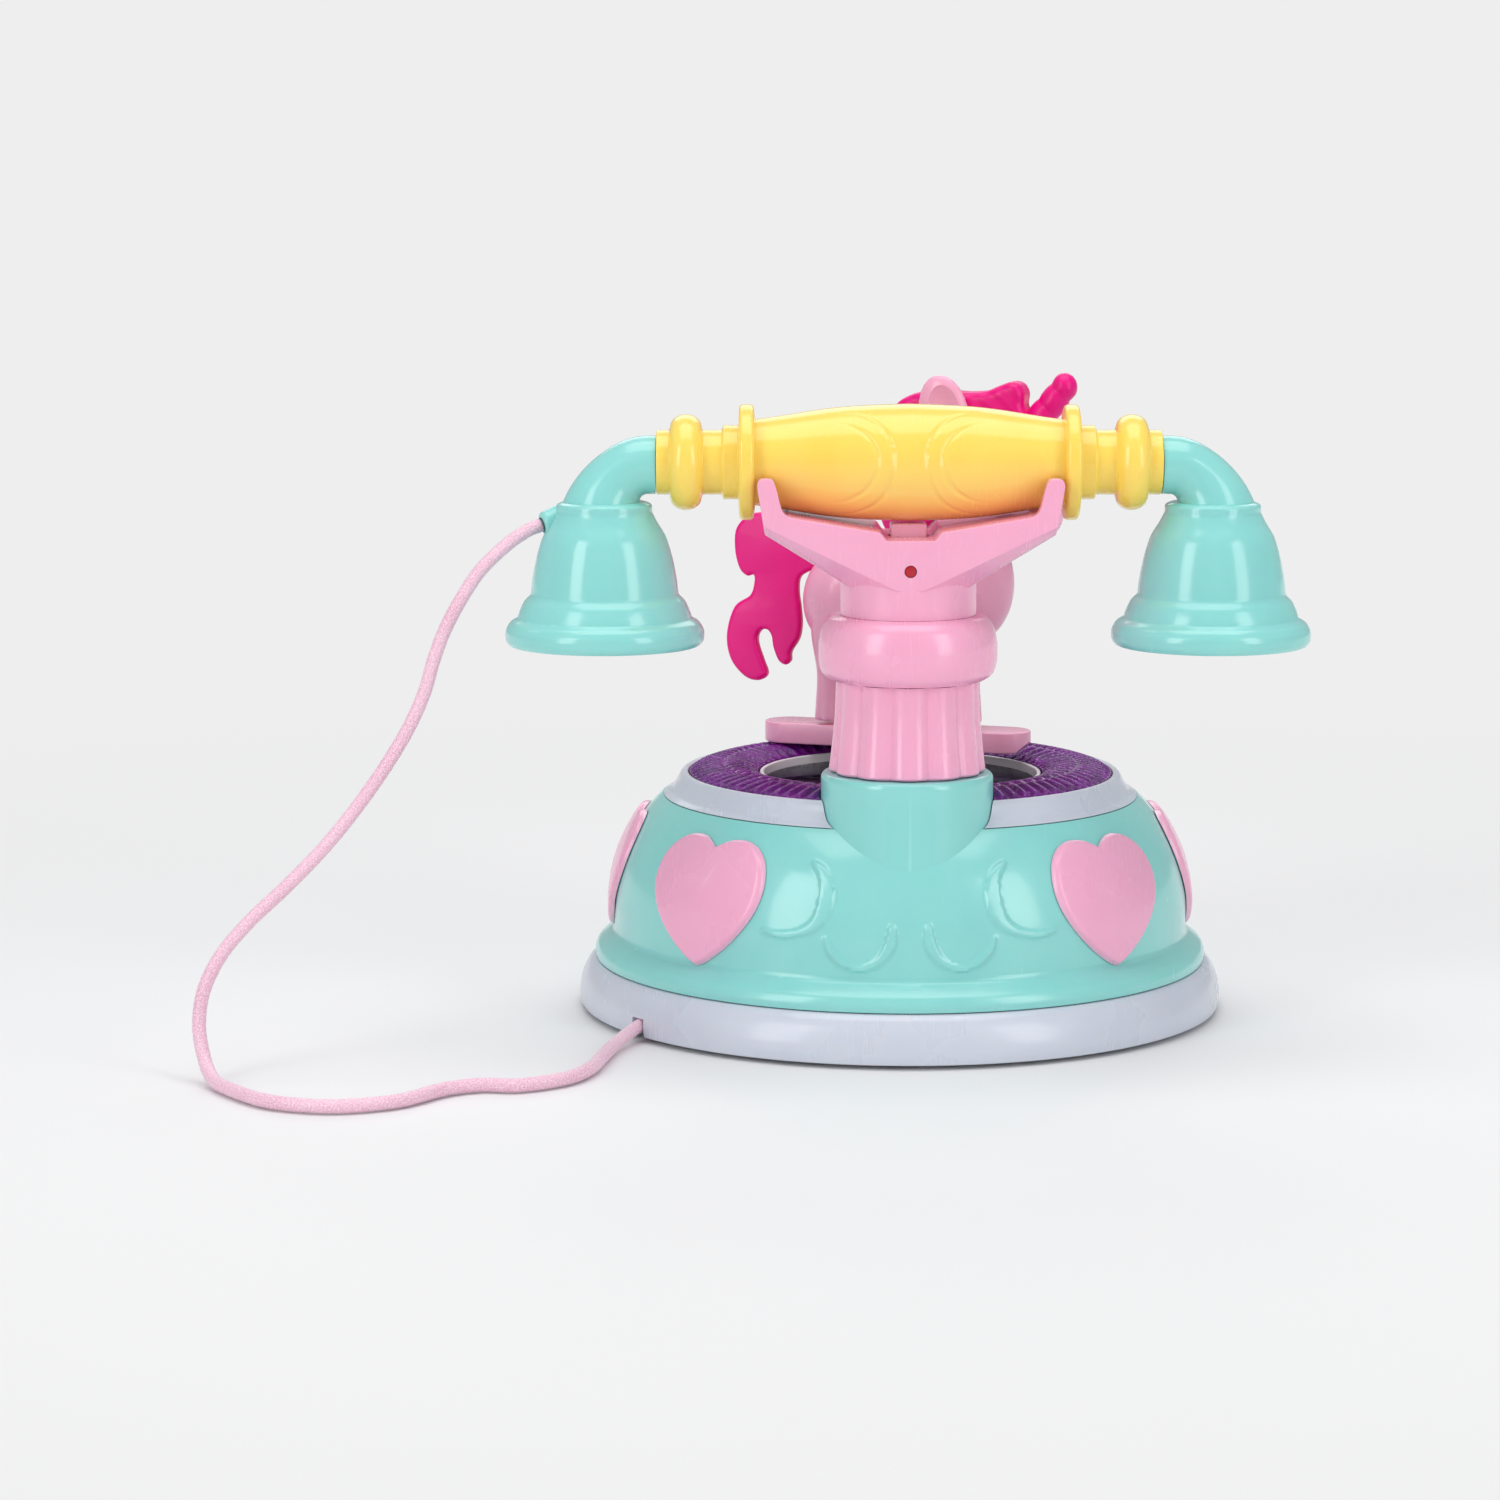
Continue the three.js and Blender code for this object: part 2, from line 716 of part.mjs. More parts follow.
function makeCord() {
  const points = cordRoute.map((point) => new THREE.Vector3(...point));
  return alongPath(points, cordRadius, 8, 42);
}

// ---- unicorn, in its own frame: +X is forward, the turntable's axis is the origin ----------

function unicornBody(grow = 0) {
  const parts = [
    ellipsoid([1, 0, 107], [27, 10.5, 15.5], grow, 16),
    ellipsoid([19, 0, 113], [13, 9.5, 16], grow),
    ellipsoid([23, 0, 141], [17, 12.5, 15.5], grow, 16),
    ellipsoid([37.5, 0, 129.5], [9, 8.4, 8.6], grow),
    bar([17, 0, 112], [20, 0, 138], 9 + grow, 8 + grow, 10),
  ];
  const sole = platform.top + 3 * GAP - grow;
  for (const side of [-1, 1]) {
    parts.push(bar([-20.6, side * 3.6, sole], [-17, side * 5, 104], 3.2 + grow, 5 + grow));
    parts.push(bar([19.5, side * 3.6, sole], [18, side * 5, 104], 3.2 + grow, 4.6 + grow));
    parts.push(ellipsoid([13, side * 6.4, 156.6], [4.4, 2.2, 10], grow, 8));
  }
  return unionOf(parts);
}

// Each side of the body is one moulding, and the pair closes on the middle plane.
function unicornHalf(side) {
  const keep = block(140, 60, 60, 180).translate([0, side * (30 + GAP / 2), 0]);
  return unicornBody().intersect(keep);
}

function makeMane() {
  const shape = new THREE.Shape();
  shape.moveTo(36.5, 158);
  shape.bezierCurveTo(34, 165, 27, 167, 21, 162);
  shape.bezierCurveTo(12, 164, 4, 163, -1, 156);
  shape.bezierCurveTo(-5, 148, -1, 142, -4, 134);
  shape.bezierCurveTo(-6, 128, -2, 123, 3, 121);
  shape.lineTo(12, 126);
  shape.bezierCurveTo(8, 140, 14, 152, 36.5, 158);
  return plateXZ(shape, -5, 5, 5).subtract(unicornBody(GAP));
}

function makeTail() {
  const shape = new THREE.Shape();
  shape.moveTo(-22, 119);
  shape.bezierCurveTo(-28, 128, -38, 130, -43, 126);
  shape.bezierCurveTo(-47, 121, -47, 114, -43, 111);
  shape.bezierCurveTo(-40, 109, -38, 110, -39, 106);
  shape.bezierCurveTo(-42, 101, -48.5, 99, -48.5, 92);
  shape.bezierCurveTo(-48.5, 86, -45, 81, -37.5, 81.4);
  shape.bezierCurveTo(-42, 85, -41, 90, -37, 94);
  shape.bezierCurveTo(-35, 90, -35, 86, -31, 85);
  shape.bezierCurveTo(-26, 88, -26, 94, -27.4, 100);
  shape.bezierCurveTo(-28.6, 106, -26, 108, -22, 111);
  return plateXZ(shape, -1.8, 1.8, 5).subtract(unicornBody(GAP));
}

function makeHorn() {
  const [start, end] = [[31, 0, 146], [47.7, 0, 166]];
  return bar(start, end, 4.6, 1.5, 10).subtract(unicornBody(GAP));
}

// The platform is a narrow bar with round ends, cut away under the unicorn's head.
function makePlatform() {
  const { halfLength, halfDepth, bottom, top } = platform;
  const shape = new THREE.Shape();
  shape.absarc(halfLength - halfDepth, 0, halfDepth, -Math.PI / 2, Math.PI / 2);
  shape.absarc(halfDepth - halfLength, 0, halfDepth, Math.PI / 2, 1.5 * Math.PI);
  const wedge = outline([
    [halfLength + 1, bottom - 1],
    [halfLength + 1, bottom + 3.6],
    [halfLength - 4, bottom - 1],
  ]);
  const undercut = plateXZ(wedge, -20, 20);
  return plateXY(shape, bottom, top, 6).subtract(undercut);
}

// ---- electrics and small pieces -----------------------------------------------------------

const makeSpeaker = () =>
  turned([[0, 3.8], [19, 3.8], [19, 6.4], [9, 9], [9, 13], [0, 13]], FINE).translate([0, 40, 0]);

const makeCircuitBoard = () => block(60, 30, 30, 31.6).translate([0, 34, 0]);

const makeLed = () =>
  turned([[0, 54], [2.5, 54], [2.5, 57.4], [1.6, 58.8], [0, 59.2]], SMALL)
    .translate([0, -47, 0]);

const makePowerSwitch = () =>
  block(5, 4.4, 0.8, 4).add(block(9, 8, base.plateTop + GAP, 6)).translate([slot.x - 2.2, slot.y, 0]);

const makeFoot = (azimuth) =>
  disc(5, 0, base.plateBottom - GAP)
    .translate([68, 0, 0])
    .rotate([0, 0, azimuth]);

// ---- assembly -----------------------------------------------------------------------------

const group = new THREE.Group();

function addBase() {
  addPart(group, 'base_skirt', makeSkirt(), lavender);
  addPart(group, 'bottom_plate', makeBottomPlate(), whitePlastic);
  addPart(group, 'battery_cover', makeBatteryCover(), whitePlastic);
  const coverScrew = screw(1.6, 1.1, 1.4, 2.4, 3.3).translate([0, bay.y, 0]);
  addPart(group, 'battery_cover_screw', coverScrew, steel);
  for (let index = 0; index < 2; index += 1) {
    addPart(group, `battery_${index + 1}`, makeBattery(index), batteryJacket);
  }
  [90, 210, 330].forEach((azimuth, index) => {
    addPart(group, `rubber_foot_${index + 1}`, makeFoot(azimuth), rubber);
  });
  addPart(group, 'dome_shell', makeDome(), turquoise);
  addPart(group, 'top_bezel', makeBezel(), lavender);
  addPart(group, 'glitter_ring', makeGlitterRing(), glitterPurple);
  addPart(group, 'dish_rim', makeDish(), whitePlastic);
  addPart(group, 'dish_mirror', makeMirror(), smokedMirror);
  for (const [name, azimuth] of Object.entries(heartAzimuths)) {
    addPart(group, name, makeHeart(azimuth * DEG), pink);
  }
  for (const place of keyPlaces()) {
    addPart(group, place.name, makeKey(place), pink);
  }
}

function addElectrics() {
  addPart(group, 'speaker', makeSpeaker(), blackPlastic);
  addPart(group, 'circuit_board', makeCircuitBoard(), boardGreen);
  addPart(group, 'ring_led', makeLed(), crimson);
  addPart(group, 'power_switch', makePowerSwitch(), blackPlastic);
  addPart(group, 'drive_motor', makeMotor(), steel);
  addPart(group, 'drive_pinion', makePinion(), whitePlastic);
  addPart(group, 'turntable_gear', makeWheel(), whitePlastic);
  addPart(group, 'turntable_shaft', makeTurntableShaft(), whitePlastic);
}

function addColumn() {
  addPart(group, 'column_lower', makeColumnLower(), pink);
  const columnScrew = screw(3.2, 1.4, 52.4, 54.3, 64.5).translate([0, column.y - 10, 0]);
  addPart(group, 'column_screw', columnScrew, steel);
  addPart(group, 'column_collar', makeCollar(), pink);
  addPart(group, 'cradle_back', cradleHalf(1), pink);
  addPart(group, 'cradle_front', cradleHalf(-1), pink);
  addPart(group, 'cradle_plug', makeCradlePlug(), crimson);
  addPart(group, 'hook_plunger', makeHookPlunger(), pink);
  addPart(group, 'hook_spring', makeHookSpring(), steel);
  addPart(group, 'hook_switch', makeHookSwitch(), blackPlastic);
}

function addHandset() {
  addPart(group, 'handle_shell_back', handleShell(1), yellow);
  addPart(group, 'handle_shell_front', handleShell(-1), yellow);
  addPart(group, 'elbow_left', makeElbow(1), turquoise);
  addPart(group, 'elbow_right', makeElbow(-1), turquoise);
  addPart(group, 'bell_left', makeBell(1), turquoise);
  addPart(group, 'bell_right', makeBell(-1), turquoise);
  addPart(group, 'bell_cap_left', makeBellCap(1), turquoise);
  addPart(group, 'bell_cap_right', makeBellCap(-1), turquoise);
  addPart(group, 'handset_cord', makeCord(), satinCord);
}

function addUnicorn() {
  const figure = new THREE.Group();
  figure.position.y = turntable.y;
  figure.rotation.z = turntable.turned;
  group.add(figure);
  addPart(figure, 'platform', makePlatform(), pink);
  addPart(figure, 'unicorn_left_half', unicornHalf(1), pink);
  addPart(figure, 'unicorn_right_half', unicornHalf(-1), pink);
  addPart(figure, 'unicorn_mane', makeMane(), magenta);
  addPart(figure, 'unicorn_tail', makeTail(), magenta);
  addPart(figure, 'unicorn_horn', makeHorn(), magenta);
}

addBase();
addElectrics();
addColumn();
addHandset();
addUnicorn();

export default group;
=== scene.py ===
"""The looks of a toy table telephone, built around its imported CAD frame.

Blender works in metres, and so do the camera, the lights and the cord's route below. Every other
outline is in millimetres, which MM turns into metres when its mesh is made. +Z is up, the player sits at -Y,
and the column with its cradle and handset stands at +Y.
"""
import math

import bmesh
import bpy
import numpy as np
from mathutils import Matrix, Vector


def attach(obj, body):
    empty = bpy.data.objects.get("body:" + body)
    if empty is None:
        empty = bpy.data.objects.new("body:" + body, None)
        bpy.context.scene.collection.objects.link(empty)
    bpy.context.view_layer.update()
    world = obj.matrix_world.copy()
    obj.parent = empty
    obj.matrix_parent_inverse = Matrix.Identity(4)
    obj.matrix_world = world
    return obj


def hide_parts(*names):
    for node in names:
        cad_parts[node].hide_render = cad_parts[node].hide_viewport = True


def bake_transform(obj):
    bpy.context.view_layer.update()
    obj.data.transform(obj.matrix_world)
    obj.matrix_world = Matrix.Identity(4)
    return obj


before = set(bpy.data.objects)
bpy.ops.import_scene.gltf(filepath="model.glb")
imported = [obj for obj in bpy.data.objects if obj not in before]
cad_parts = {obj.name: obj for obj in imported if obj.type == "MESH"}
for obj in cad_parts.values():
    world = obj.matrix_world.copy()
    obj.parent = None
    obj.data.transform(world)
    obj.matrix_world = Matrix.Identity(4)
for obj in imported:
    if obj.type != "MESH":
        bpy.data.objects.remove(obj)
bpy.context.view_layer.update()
scene = bpy.context.scene

MM = 0.001
GAP = 0.3  # space between pieces that touch, as in the CAD
SIDES = 192  # sides of a turned piece, unless its call gives another number
UNICORN_TURN = math.radians(161)  # how far the turntable stands from the unicorn facing +X
TURNTABLE_Y = -26
COLUMN_Y = 48.5
HANDSET_Z = 148.2
BELL_X = 76.6

# ---- camera, light and floor ----


def link(name, data):
    """A new object in the scene."""
    obj = bpy.data.objects.new(name, data)
    scene.collection.objects.link(obj)
    return obj


def angles_round(count):
    """Evenly spaced angles, once round a circle."""
    return np.arange(count) * 2 * math.pi / count


def ring_points(centre, radius, height, angles):
    """Points round an upright axis. The radius is one number, or one for each angle."""
    x, y = centre[0] + radius * np.cos(angles), centre[1] + radius * np.sin(angles)
    return np.stack([x, y, 0 * x + height], axis=1)


def set_inputs(node, inputs):
    """Sets inputs of a node. An underscore in a name stands for a space."""
    for socket, value in inputs.items():
        node.inputs[socket.replace("_", " ")].default_value = value
    return node


def add_node(tree, kind, **inputs):
    return set_inputs(tree.nodes.new("ShaderNode" + kind), inputs)


def make_camera():
    data = bpy.data.cameras.new("camera")
    data.lens = 100
    data.sensor_width = 36
    camera = link("camera", data)
    camera.location = (0.0399, 1.095, 0.230)
    camera.rotation_euler = (math.radians(90 - 8.42), 0, math.radians(180))
    scene.camera = camera


def soft_box(name, location, size, power):
    """A rectangular lamp that faces the middle of the telephone."""
    data = bpy.data.lights.new(name, "AREA")
    data.shape = "RECTANGLE"
    data.size, data.size_y = size
    data.energy = power
    lamp = link(name, data)
    lamp.location = location
    lamp.rotation_euler = (Vector((0, 0.03, 0.08)) - lamp.location).to_track_quat("-Z", "Y").to_euler()


def make_world(shown, lighting):
    """An even pale surround: one strength is seen behind the telephone, the other lights it."""
    world = bpy.data.worlds.new("surround")
    world.use_nodes = True
    scene.world = world
    tree = world.node_tree
    tree.nodes.clear()
    seen = add_node(tree, "Background", Color=(shown, shown, shown, 1))
    light = add_node(tree, "Background", Color=(0.97, 0.985, 1, 1), Strength=lighting)
    rays = add_node(tree, "LightPath")
    mix = add_node(tree, "MixShader")
    output = add_node(tree, "OutputWorld")
    tree.links.new(rays.outputs["Is Camera Ray"], mix.inputs[0])
    tree.links.new(light.outputs[0], mix.inputs[1])
    tree.links.new(seen.outputs[0], mix.inputs[2])
    tree.links.new(mix.outputs[0], output.inputs[0])


def floor_material(shown):
    """Matt near the telephone, and as bright as the surround further away."""
    material = bpy.data.materials.new("floor")
    material.use_nodes = True
    tree = material.node_tree
    tree.nodes.clear()
    place = add_node(tree, "TexCoord")
    length = add_node(tree, "VectorMath")
    length.operation = "LENGTH"
    fade = add_node(tree, "MapRange", From_Min=0.16, From_Max=0.62)
    fade.interpolation_type = "SMOOTHSTEP"
    near = add_node(tree, "BsdfPrincipled", Base_Color=(0.83, 0.83, 0.835, 1), Roughness=0.55,
                    Specular_IOR_Level=0.2)
    far = add_node(tree, "Emission", Color=(shown, shown, shown, 1))
    mix = add_node(tree, "MixShader")
    output = add_node(tree, "OutputMaterial")
    tree.links.new(place.outputs["Object"], length.inputs[0])
    tree.links.new(length.outputs["Value"], fade.inputs["Value"])
    tree.links.new(fade.outputs["Result"], mix.inputs[0])
    tree.links.new(near.outputs[0], mix.inputs[1])
    tree.links.new(far.outputs[0], mix.inputs[2])
    tree.links.new(mix.outputs[0], output.inputs["Surface"])
    return material


def make_floor(shown):
    """A wide round floor that takes shadows near the telephone and matches the surround far away."""
    rim = ring_points((0, 0), 6, 0, angles_round(96))
    mesh = bpy.data.meshes.new("floor")
    mesh.from_pydata(rim.tolist(), [], [range(len(rim))])
    mesh.materials.append(floor_material(shown))
    floor = link("floor", mesh)


PALE = 0.855  # the surround's brightness, a very light grey
scene.view_settings.view_transform = "Standard"
make_camera()
make_world(PALE, 0.40)
make_floor(PALE)
soft_box("box_left", (0.95, 0.95, 0.55), (0.45, 1.1), 6)
soft_box("box_right", (-0.95, 0.95, 0.55), (0.45, 1.1), 5.4)
soft_box("box_above", (0, 0.1, 1.5), (1.4, 1.2), 12)
soft_box("box_front", (0, -1.2, 0.9), (1.2, 0.7), 4)

# ---- materials ----


def colour_of(code):
    """A screen colour such as 0x96e4d9 as linear red, green, blue and alpha."""
    channels = [(code >> shift & 255) / 255 for shift in (16, 8, 0)]
    return [c / 12.92 if c <= 0.04045 else ((c + 0.055) / 1.055) ** 2.4 for c in channels] + [1]


class Look:
    """A Principled material with the node chains that several finishes share."""

    def __init__(self, name, roughness, **sockets):
        self.material = bpy.data.materials.new(name)
        self.material.use_nodes = True
        self.tree = self.material.node_tree
        self.links = self.tree.links
        self.shader = set_inputs(self.tree.nodes["Principled BSDF"], {"Roughness": roughness, **sockets})
        self.place = add_node(self.tree, "TexCoord")
        self.height = None

    def spot(self, stretch=(1, 1, 1), source="Object"):
        """The place on the surface, stretched so that a pattern becomes streaks."""
        if stretch == (1, 1, 1):
            return self.place.outputs[source]
        mapping = add_node(self.tree, "Mapping", Scale=stretch)
        self.links.new(self.place.outputs[source], mapping.inputs["Vector"])
        return mapping.outputs["Vector"]

    def noise(self, scale, detail=2, stretch=(1, 1, 1), source="Object"):
        node = add_node(self.tree, "TexNoise", Scale=scale, Detail=detail)
        self.links.new(self.spot(stretch, source), node.inputs["Vector"])
        return node.outputs["Fac"]

    def remap(self, value, low, high, start=0.3, end=0.7):
        node = add_node(self.tree, "MapRange", From_Min=start, From_Max=end, To_Min=low, To_Max=high)
        self.links.new(value, node.inputs["Value"])
        return node.outputs["Result"]

    def math(self, operation, first, second=0.0):
        node = add_node(self.tree, "Math")
        node.operation = operation
        for socket, value in zip(node.inputs, (first, second)):
            if isinstance(value, (int, float)):
                socket.default_value = value
            else:
                self.links.new(value, socket)
        return node.outputs[0]

    def blend(self, share, first, second):
        """A mix of two colours, each one a code or another node's output."""
        node = add_node(self.tree, "Mix")
        node.data_type = "RGBA"
        self.links.new(share, node.inputs["Factor"])
        for socket, colour in ((node.inputs[6], first), (node.inputs[7], second)):
            if isinstance(colour, int):
                socket.default_value = colour_of(colour)
            else:
                self.links.new(colour, socket)
        return node.outputs[2]

    def paint(self, colour):
        self.links.new(colour, self.shader.inputs["Base Color"])

    def vary(self, socket, value):
        self.links.new(value, self.shader.inputs[socket])

    def bump(self, height, distance, strength):
        """Adds a relief, in millimetres, on top of those added before it."""
        node = add_node(self.tree, "Bump", Distance=distance * MM, Strength=strength)
        self.links.new(height, node.inputs["Height"])
        if self.height is not None:
            self.links.new(self.height, node.inputs["Normal"])
        self.height = node.outputs["Normal"]
        self.links.new(self.height, self.shader.inputs["Normal"])

    def underneath(self, reach):
        """Where painted warm light falls on an underside: how much a spot faces down, up to a distance from
        the middle along X.
        """
        facing = add_node(self.tree, "SeparateXYZ")
        spot = add_node(self.tree, "SeparateXYZ")
        self.links.new(self.place.outputs["Normal"], facing.inputs[0])
        self.links.new(self.place.outputs["Object"], spot.inputs[0])
        down = self.remap(facing.outputs["Z"], 0, 0.45, 0.25, -0.9)
        near = self.remap(self.math("ABSOLUTE", spot.outputs["X"]), 1, 0, reach - 0.004, reach)
        return self.math("MULTIPLY", down, near)

    def edges(self):
        """How much a spot is on an outer edge, where the plastic is painted paler as a painted edge
        highlight.
        """
        geometry = add_node(self.tree, "NewGeometry")
        return self.remap(geometry.outputs["Pointiness"], 0, 1, 0.58, 0.68)


def moulded(name, colour, flow, painted_edge_light, roughness=0.2, painted_warm_underside=None, **sockets):
    """Glossy moulded plastic: slow colour flow, paler edges that are a painted edge highlight, faint orange
    peel and fine scratches, and a painted warm light on the underside where one is given.
    """
    finish = {"Coat_Weight": 0.28, "Coat_Roughness": 0.06, "IOR": 1.49, **sockets}
    look = Look(name, roughness, **finish)
    cloud = look.remap(look.noise(26, 3), 0, 1)
    swirl = look.remap(look.noise(90, 2, (1, 1, 0.35)), 0, 0.5)
    base = look.blend(look.math("MULTIPLY", cloud, swirl), colour, flow)
    # painted warm light on the underside of the handle's middle, blended into the colour
    if painted_warm_underside is not None:
        base = look.blend(look.underneath(0.037), base, painted_warm_underside)
    # paler outer edges: a painted edge highlight
    edge = look.math("MULTIPLY", look.edges(), 0.45)
    look.paint(look.blend(edge, base, painted_edge_light))
    scratches = look.noise(1, 2, (2600, 160, 160))
    handled = look.noise(38, 3)
    gloss = look.math("ADD", look.remap(handled, roughness - 0.05, roughness + 0.05),
                         look.remap(scratches, 0, 0.06, 0.6, 0.75))
    look.vary("Roughness", gloss)
    look.bump(look.noise(650, 2), 0.05, 0.12)
    look.bump(scratches, 0.02, 0.10)
    return look.material


def glitter(name):
    """Clear purple plastic over foil flakes."""
    look = Look(name, 0.24, Coat_Weight=0.1, Coat_Roughness=0.08, Specular_IOR_Level=0.3)
    flakes = add_node(look.tree, "TexVoronoi", Scale=1500)
    look.links.new(look.spot(), flakes.inputs["Vector"])
    sparkle = look.remap(flakes.outputs["Color"], 0, 1, 0.86, 0.95)
    depth = look.remap(look.noise(180, 3), 0, 1)
    base = look.blend(depth, 0x520F66, 0x7E1F92)
    look.paint(look.blend(look.math("MULTIPLY", sparkle, 0.7), base, 0xB868D2))
    look.vary("Metallic", look.math("MULTIPLY", sparkle, 0.5))
    look.bump(flakes.outputs["Distance"], 0.25, 0.45)
    return look.material


def smoked(name):
    """A dark mirrored disc with a slight haze and rub marks."""
    look = Look(name, 0.07, Metallic=1, Specular_Tint=(0.30, 0.27, 0.36, 1))
    haze = look.remap(look.noise(60, 4), 0, 1)
    look.paint(look.blend(haze, 0x3A3142, 0x4A3E54))
    look.vary("Roughness", look.remap(look.noise(1, 2, (900, 60, 60)), 0.05, 0.16))
    return look.material


def satin(name):
    """Satin thread with a fine grain and streaks, the grain painted paler as a painted sheen on the threads.
    U goes along the cord, in metres, and V round it.
    """
    look = Look(name, 0.42, Sheen_Weight=0.5, Sheen_Roughness=0.35, Specular_IOR_Level=0.6)
    grain = look.noise(1, 2, (2200, 26, 1), "UV")
    streaks = look.noise(1, 1, (900, 60, 1), "UV")
    wear = look.remap(look.noise(70, 2), 0, 1)
    base = look.blend(wear, 0xEBB7CD, 0xE2A5C0)
    # painted sheen: the fine grain blends in a paler pink over the thread colour
    light = look.remap(grain, 0, 0.75, 0.42, 0.62)
    look.paint(look.blend(light, base, 0xFBE3EC))
    look.vary("Roughness", look.remap(streaks, 0.32, 0.55))
    look.bump(grain, 0.18, 0.5)
    look.bump(streaks, 0.08, 0.3)
    return look.material


def metal(name, colour, tint):
    """Plated steel, brushed one way, with dull spots."""
    look = Look(name, 0.3, Metallic=1.0)
    look.paint(look.blend(look.remap(look.noise(120, 3), 0, 1), colour, tint))
    brushing = look.noise(1, 2, (120, 120, 4200))
    look.vary("Roughness", look.remap(brushing, 0.22, 0.42))
    look.bump(brushing, 0.02, 0.2)
    return look.material


def dull(name, colour, tint, grain, depth, roughness):
    """A matt surface with a fine grain, such as rubber, a circuit board or black plastic."""
    look = Look(name, roughness)
    look.paint(look.blend(look.remap(look.noise(grain / 6, 3), 0, 1), colour, tint))
    look.vary("Roughness", look.remap(look.noise(grain / 2, 2), roughness - 0.1, roughness + 0.08))
    look.bump(look.noise(grain, 3), depth, 0.5)
    return look.material


def base_name(material):
    """A material's name without the number that Blender adds to a second one of that name."""
    return material.name.split(".")[0]


def make_materials():
    soft = {"Subsurface_Weight": 0.12, "Subsurface_Scale": 0.004}
    satiny = {"Coat_Weight": 0.08, "Specular_IOR_Level": 0.3}
    made = [
        # the third colour of each moulded plastic is its painted edge highlight
        moulded("turquoise_plastic", 0x8FD8D3, 0x82CECC, 0xA9E8E2, **soft),
        moulded("pink_plastic", 0xF7AECD, 0xF0A3C5, 0xFFC4DA, 0.28, **soft),
        moulded("magenta_plastic", 0xEE0486, 0xDE007C, 0xFF4CA8, 0.34, **satiny),
        # 0xFFB078 below is a painted warm light on the handle's underside
        moulded("yellow_plastic", 0xFFDC64, 0xFCD250, 0xFFEB98, 0.24, 0xFFB078, **soft),
        moulded("lavender_plastic", 0xCDD2DE, 0xC2C6D8, 0xDEE2EA, 0.28, **soft),
        moulded("white_plastic", 0xEDEDEE, 0xE4E4E8, 0xF8F8F8, 0.3),
        # crimson_plastic paints the dark shade inside the cradle's screw hole
        moulded("crimson_plastic", 0xB80A22, 0x9C081C, 0xD0304A, 0.4),
        glitter("purple_glitter"),
        smoked("smoked_mirror"),
        satin("satin_cord"),
        metal("steel", 0xB9BDC3, 0x9EA2AA),
        dull("black_plastic", 0x1C1C1F, 0x2B2B30, 900, 0.05, 0.45),
        dull("green_board", 0x1F6B3A, 0x2C8049, 500, 0.06, 0.5),
        dull("grey_rubber", 0x4C4C54, 0x5C5C64, 1200, 0.08, 0.85),
        dull("battery_jacket", 0x3A6EA8, 0x315F94, 300, 0.02, 0.35),
    ]
    return {base_name(material): material for material in made}


materials = make_materials()
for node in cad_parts.values():
    node.material_slots[0].material = materials[base_name(node.data.materials[0])]

# ---- mesh helpers ----


def write_mesh(edited, mesh):
    """Turns the faces of an edited mesh outwards, and writes it into a mesh."""
    bmesh.ops.recalc_face_normals(edited, faces=edited.faces)
    edited.to_mesh(mesh)
    edited.free()


def make_object(name, vertices, faces):
    """A closed mesh from points in millimetres, with its faces turned outwards."""
    mesh = bpy.data.meshes.new(name)
    mesh.from_pydata((np.array(vertices, float) * MM).tolist(), [], faces)
    edited = bmesh.new()
    edited.from_mesh(mesh)
    write_mesh(edited, mesh)
    return link(name, mesh)


def rounded(points, steps=5):
    """Straight lines through points whose third number, if there is one, is how far a corner is cut back."""
    path = []
    for i, point in enumerate(points):
        corner = Vector(point[:2])
        if len(point) == 2:
            path.append(corner)
            continue
        before = Vector(points[i - 1][:2]) - corner
        after = Vector(points[(i + 1) % len(points)][:2]) - corner
        start = corner + before.normalized() * min(point[2], before.length * 0.49)
        end = corner + after.normalized() * min(point[2], after.length * 0.49)
        for t in np.linspace(0, 1, steps + 1):
            path.append(start * (1 - t) ** 2 + corner * (2 * t * (1 - t)) + end * t * t)
    return [tuple(p) for p in path]


def smooth_path(points, steps):
    """A curve through all the points, with the given number of steps between each two."""
    points = [np.array(point) for point in points]
    ends = [2 * points[0] - points[1], *points, 2 * points[-1] - points[-2]]
    path = []
    for a, b, c, d in zip(ends, ends[1:], ends[2:], ends[3:]):
        for t in np.arange(steps) / steps:
            path.append(0.5 * (2 * b + (c - a) * t + (2 * a - 5 * b + 4 * c - d) * t ** 2
                               + (3 * b - a - 3 * c + d) * t ** 3))
    return np.array(path + [ends[-2]], float)


def surface(name, rows, looped=False):
    """Faces over rows of points. A row of one point closes an end. Looped joins the last row to the first."""
    count = max(len(row) for row in rows)
    vertices, numbers = [], []
    for row in rows:
        start = len(vertices)
        vertices.extend(tuple(point) for point in row)
        numbers.append([start] * count if len(row) == 1 else list(range(start, start + count)))
    pairs = list(zip(numbers, numbers[1:]))
    if looped:
        pairs.append((numbers[-1], numbers[0]))
    faces = []
    for below, above in pairs:
        for i in range(count):
            j = (i + 1) % count
            corners = tuple(dict.fromkeys((below[i], below[j], above[j], above[i])))
            if len(corners) > 2:
                faces.append(corners)
    if not looped:
        faces.extend(tuple(row) for row in (numbers[0], numbers[-1]) if row[0] != row[1])
    return make_object(name, vertices, faces)


def turned(name, outline, sides=SIDES, centre=(0, 0)):
    """An outline of (radius, height) turned about an upright axis. It closes on itself or on the axis."""
    angles = angles_round(sides)
    rows = []
    for radius, height in outline:
        on_axis = radius < 1e-6
        rows.append([(*centre, height)] if on_axis else ring_points(centre, radius, height, angles))
    return surface(name, rows, looped=outline[0][0] > 1e-6)


def disc(name, radius, bottom, top, centre=(0, 0), sides=96):
    return turned(name, [(0, bottom), (radius, bottom), (radius, top), (0, top)], sides, centre)


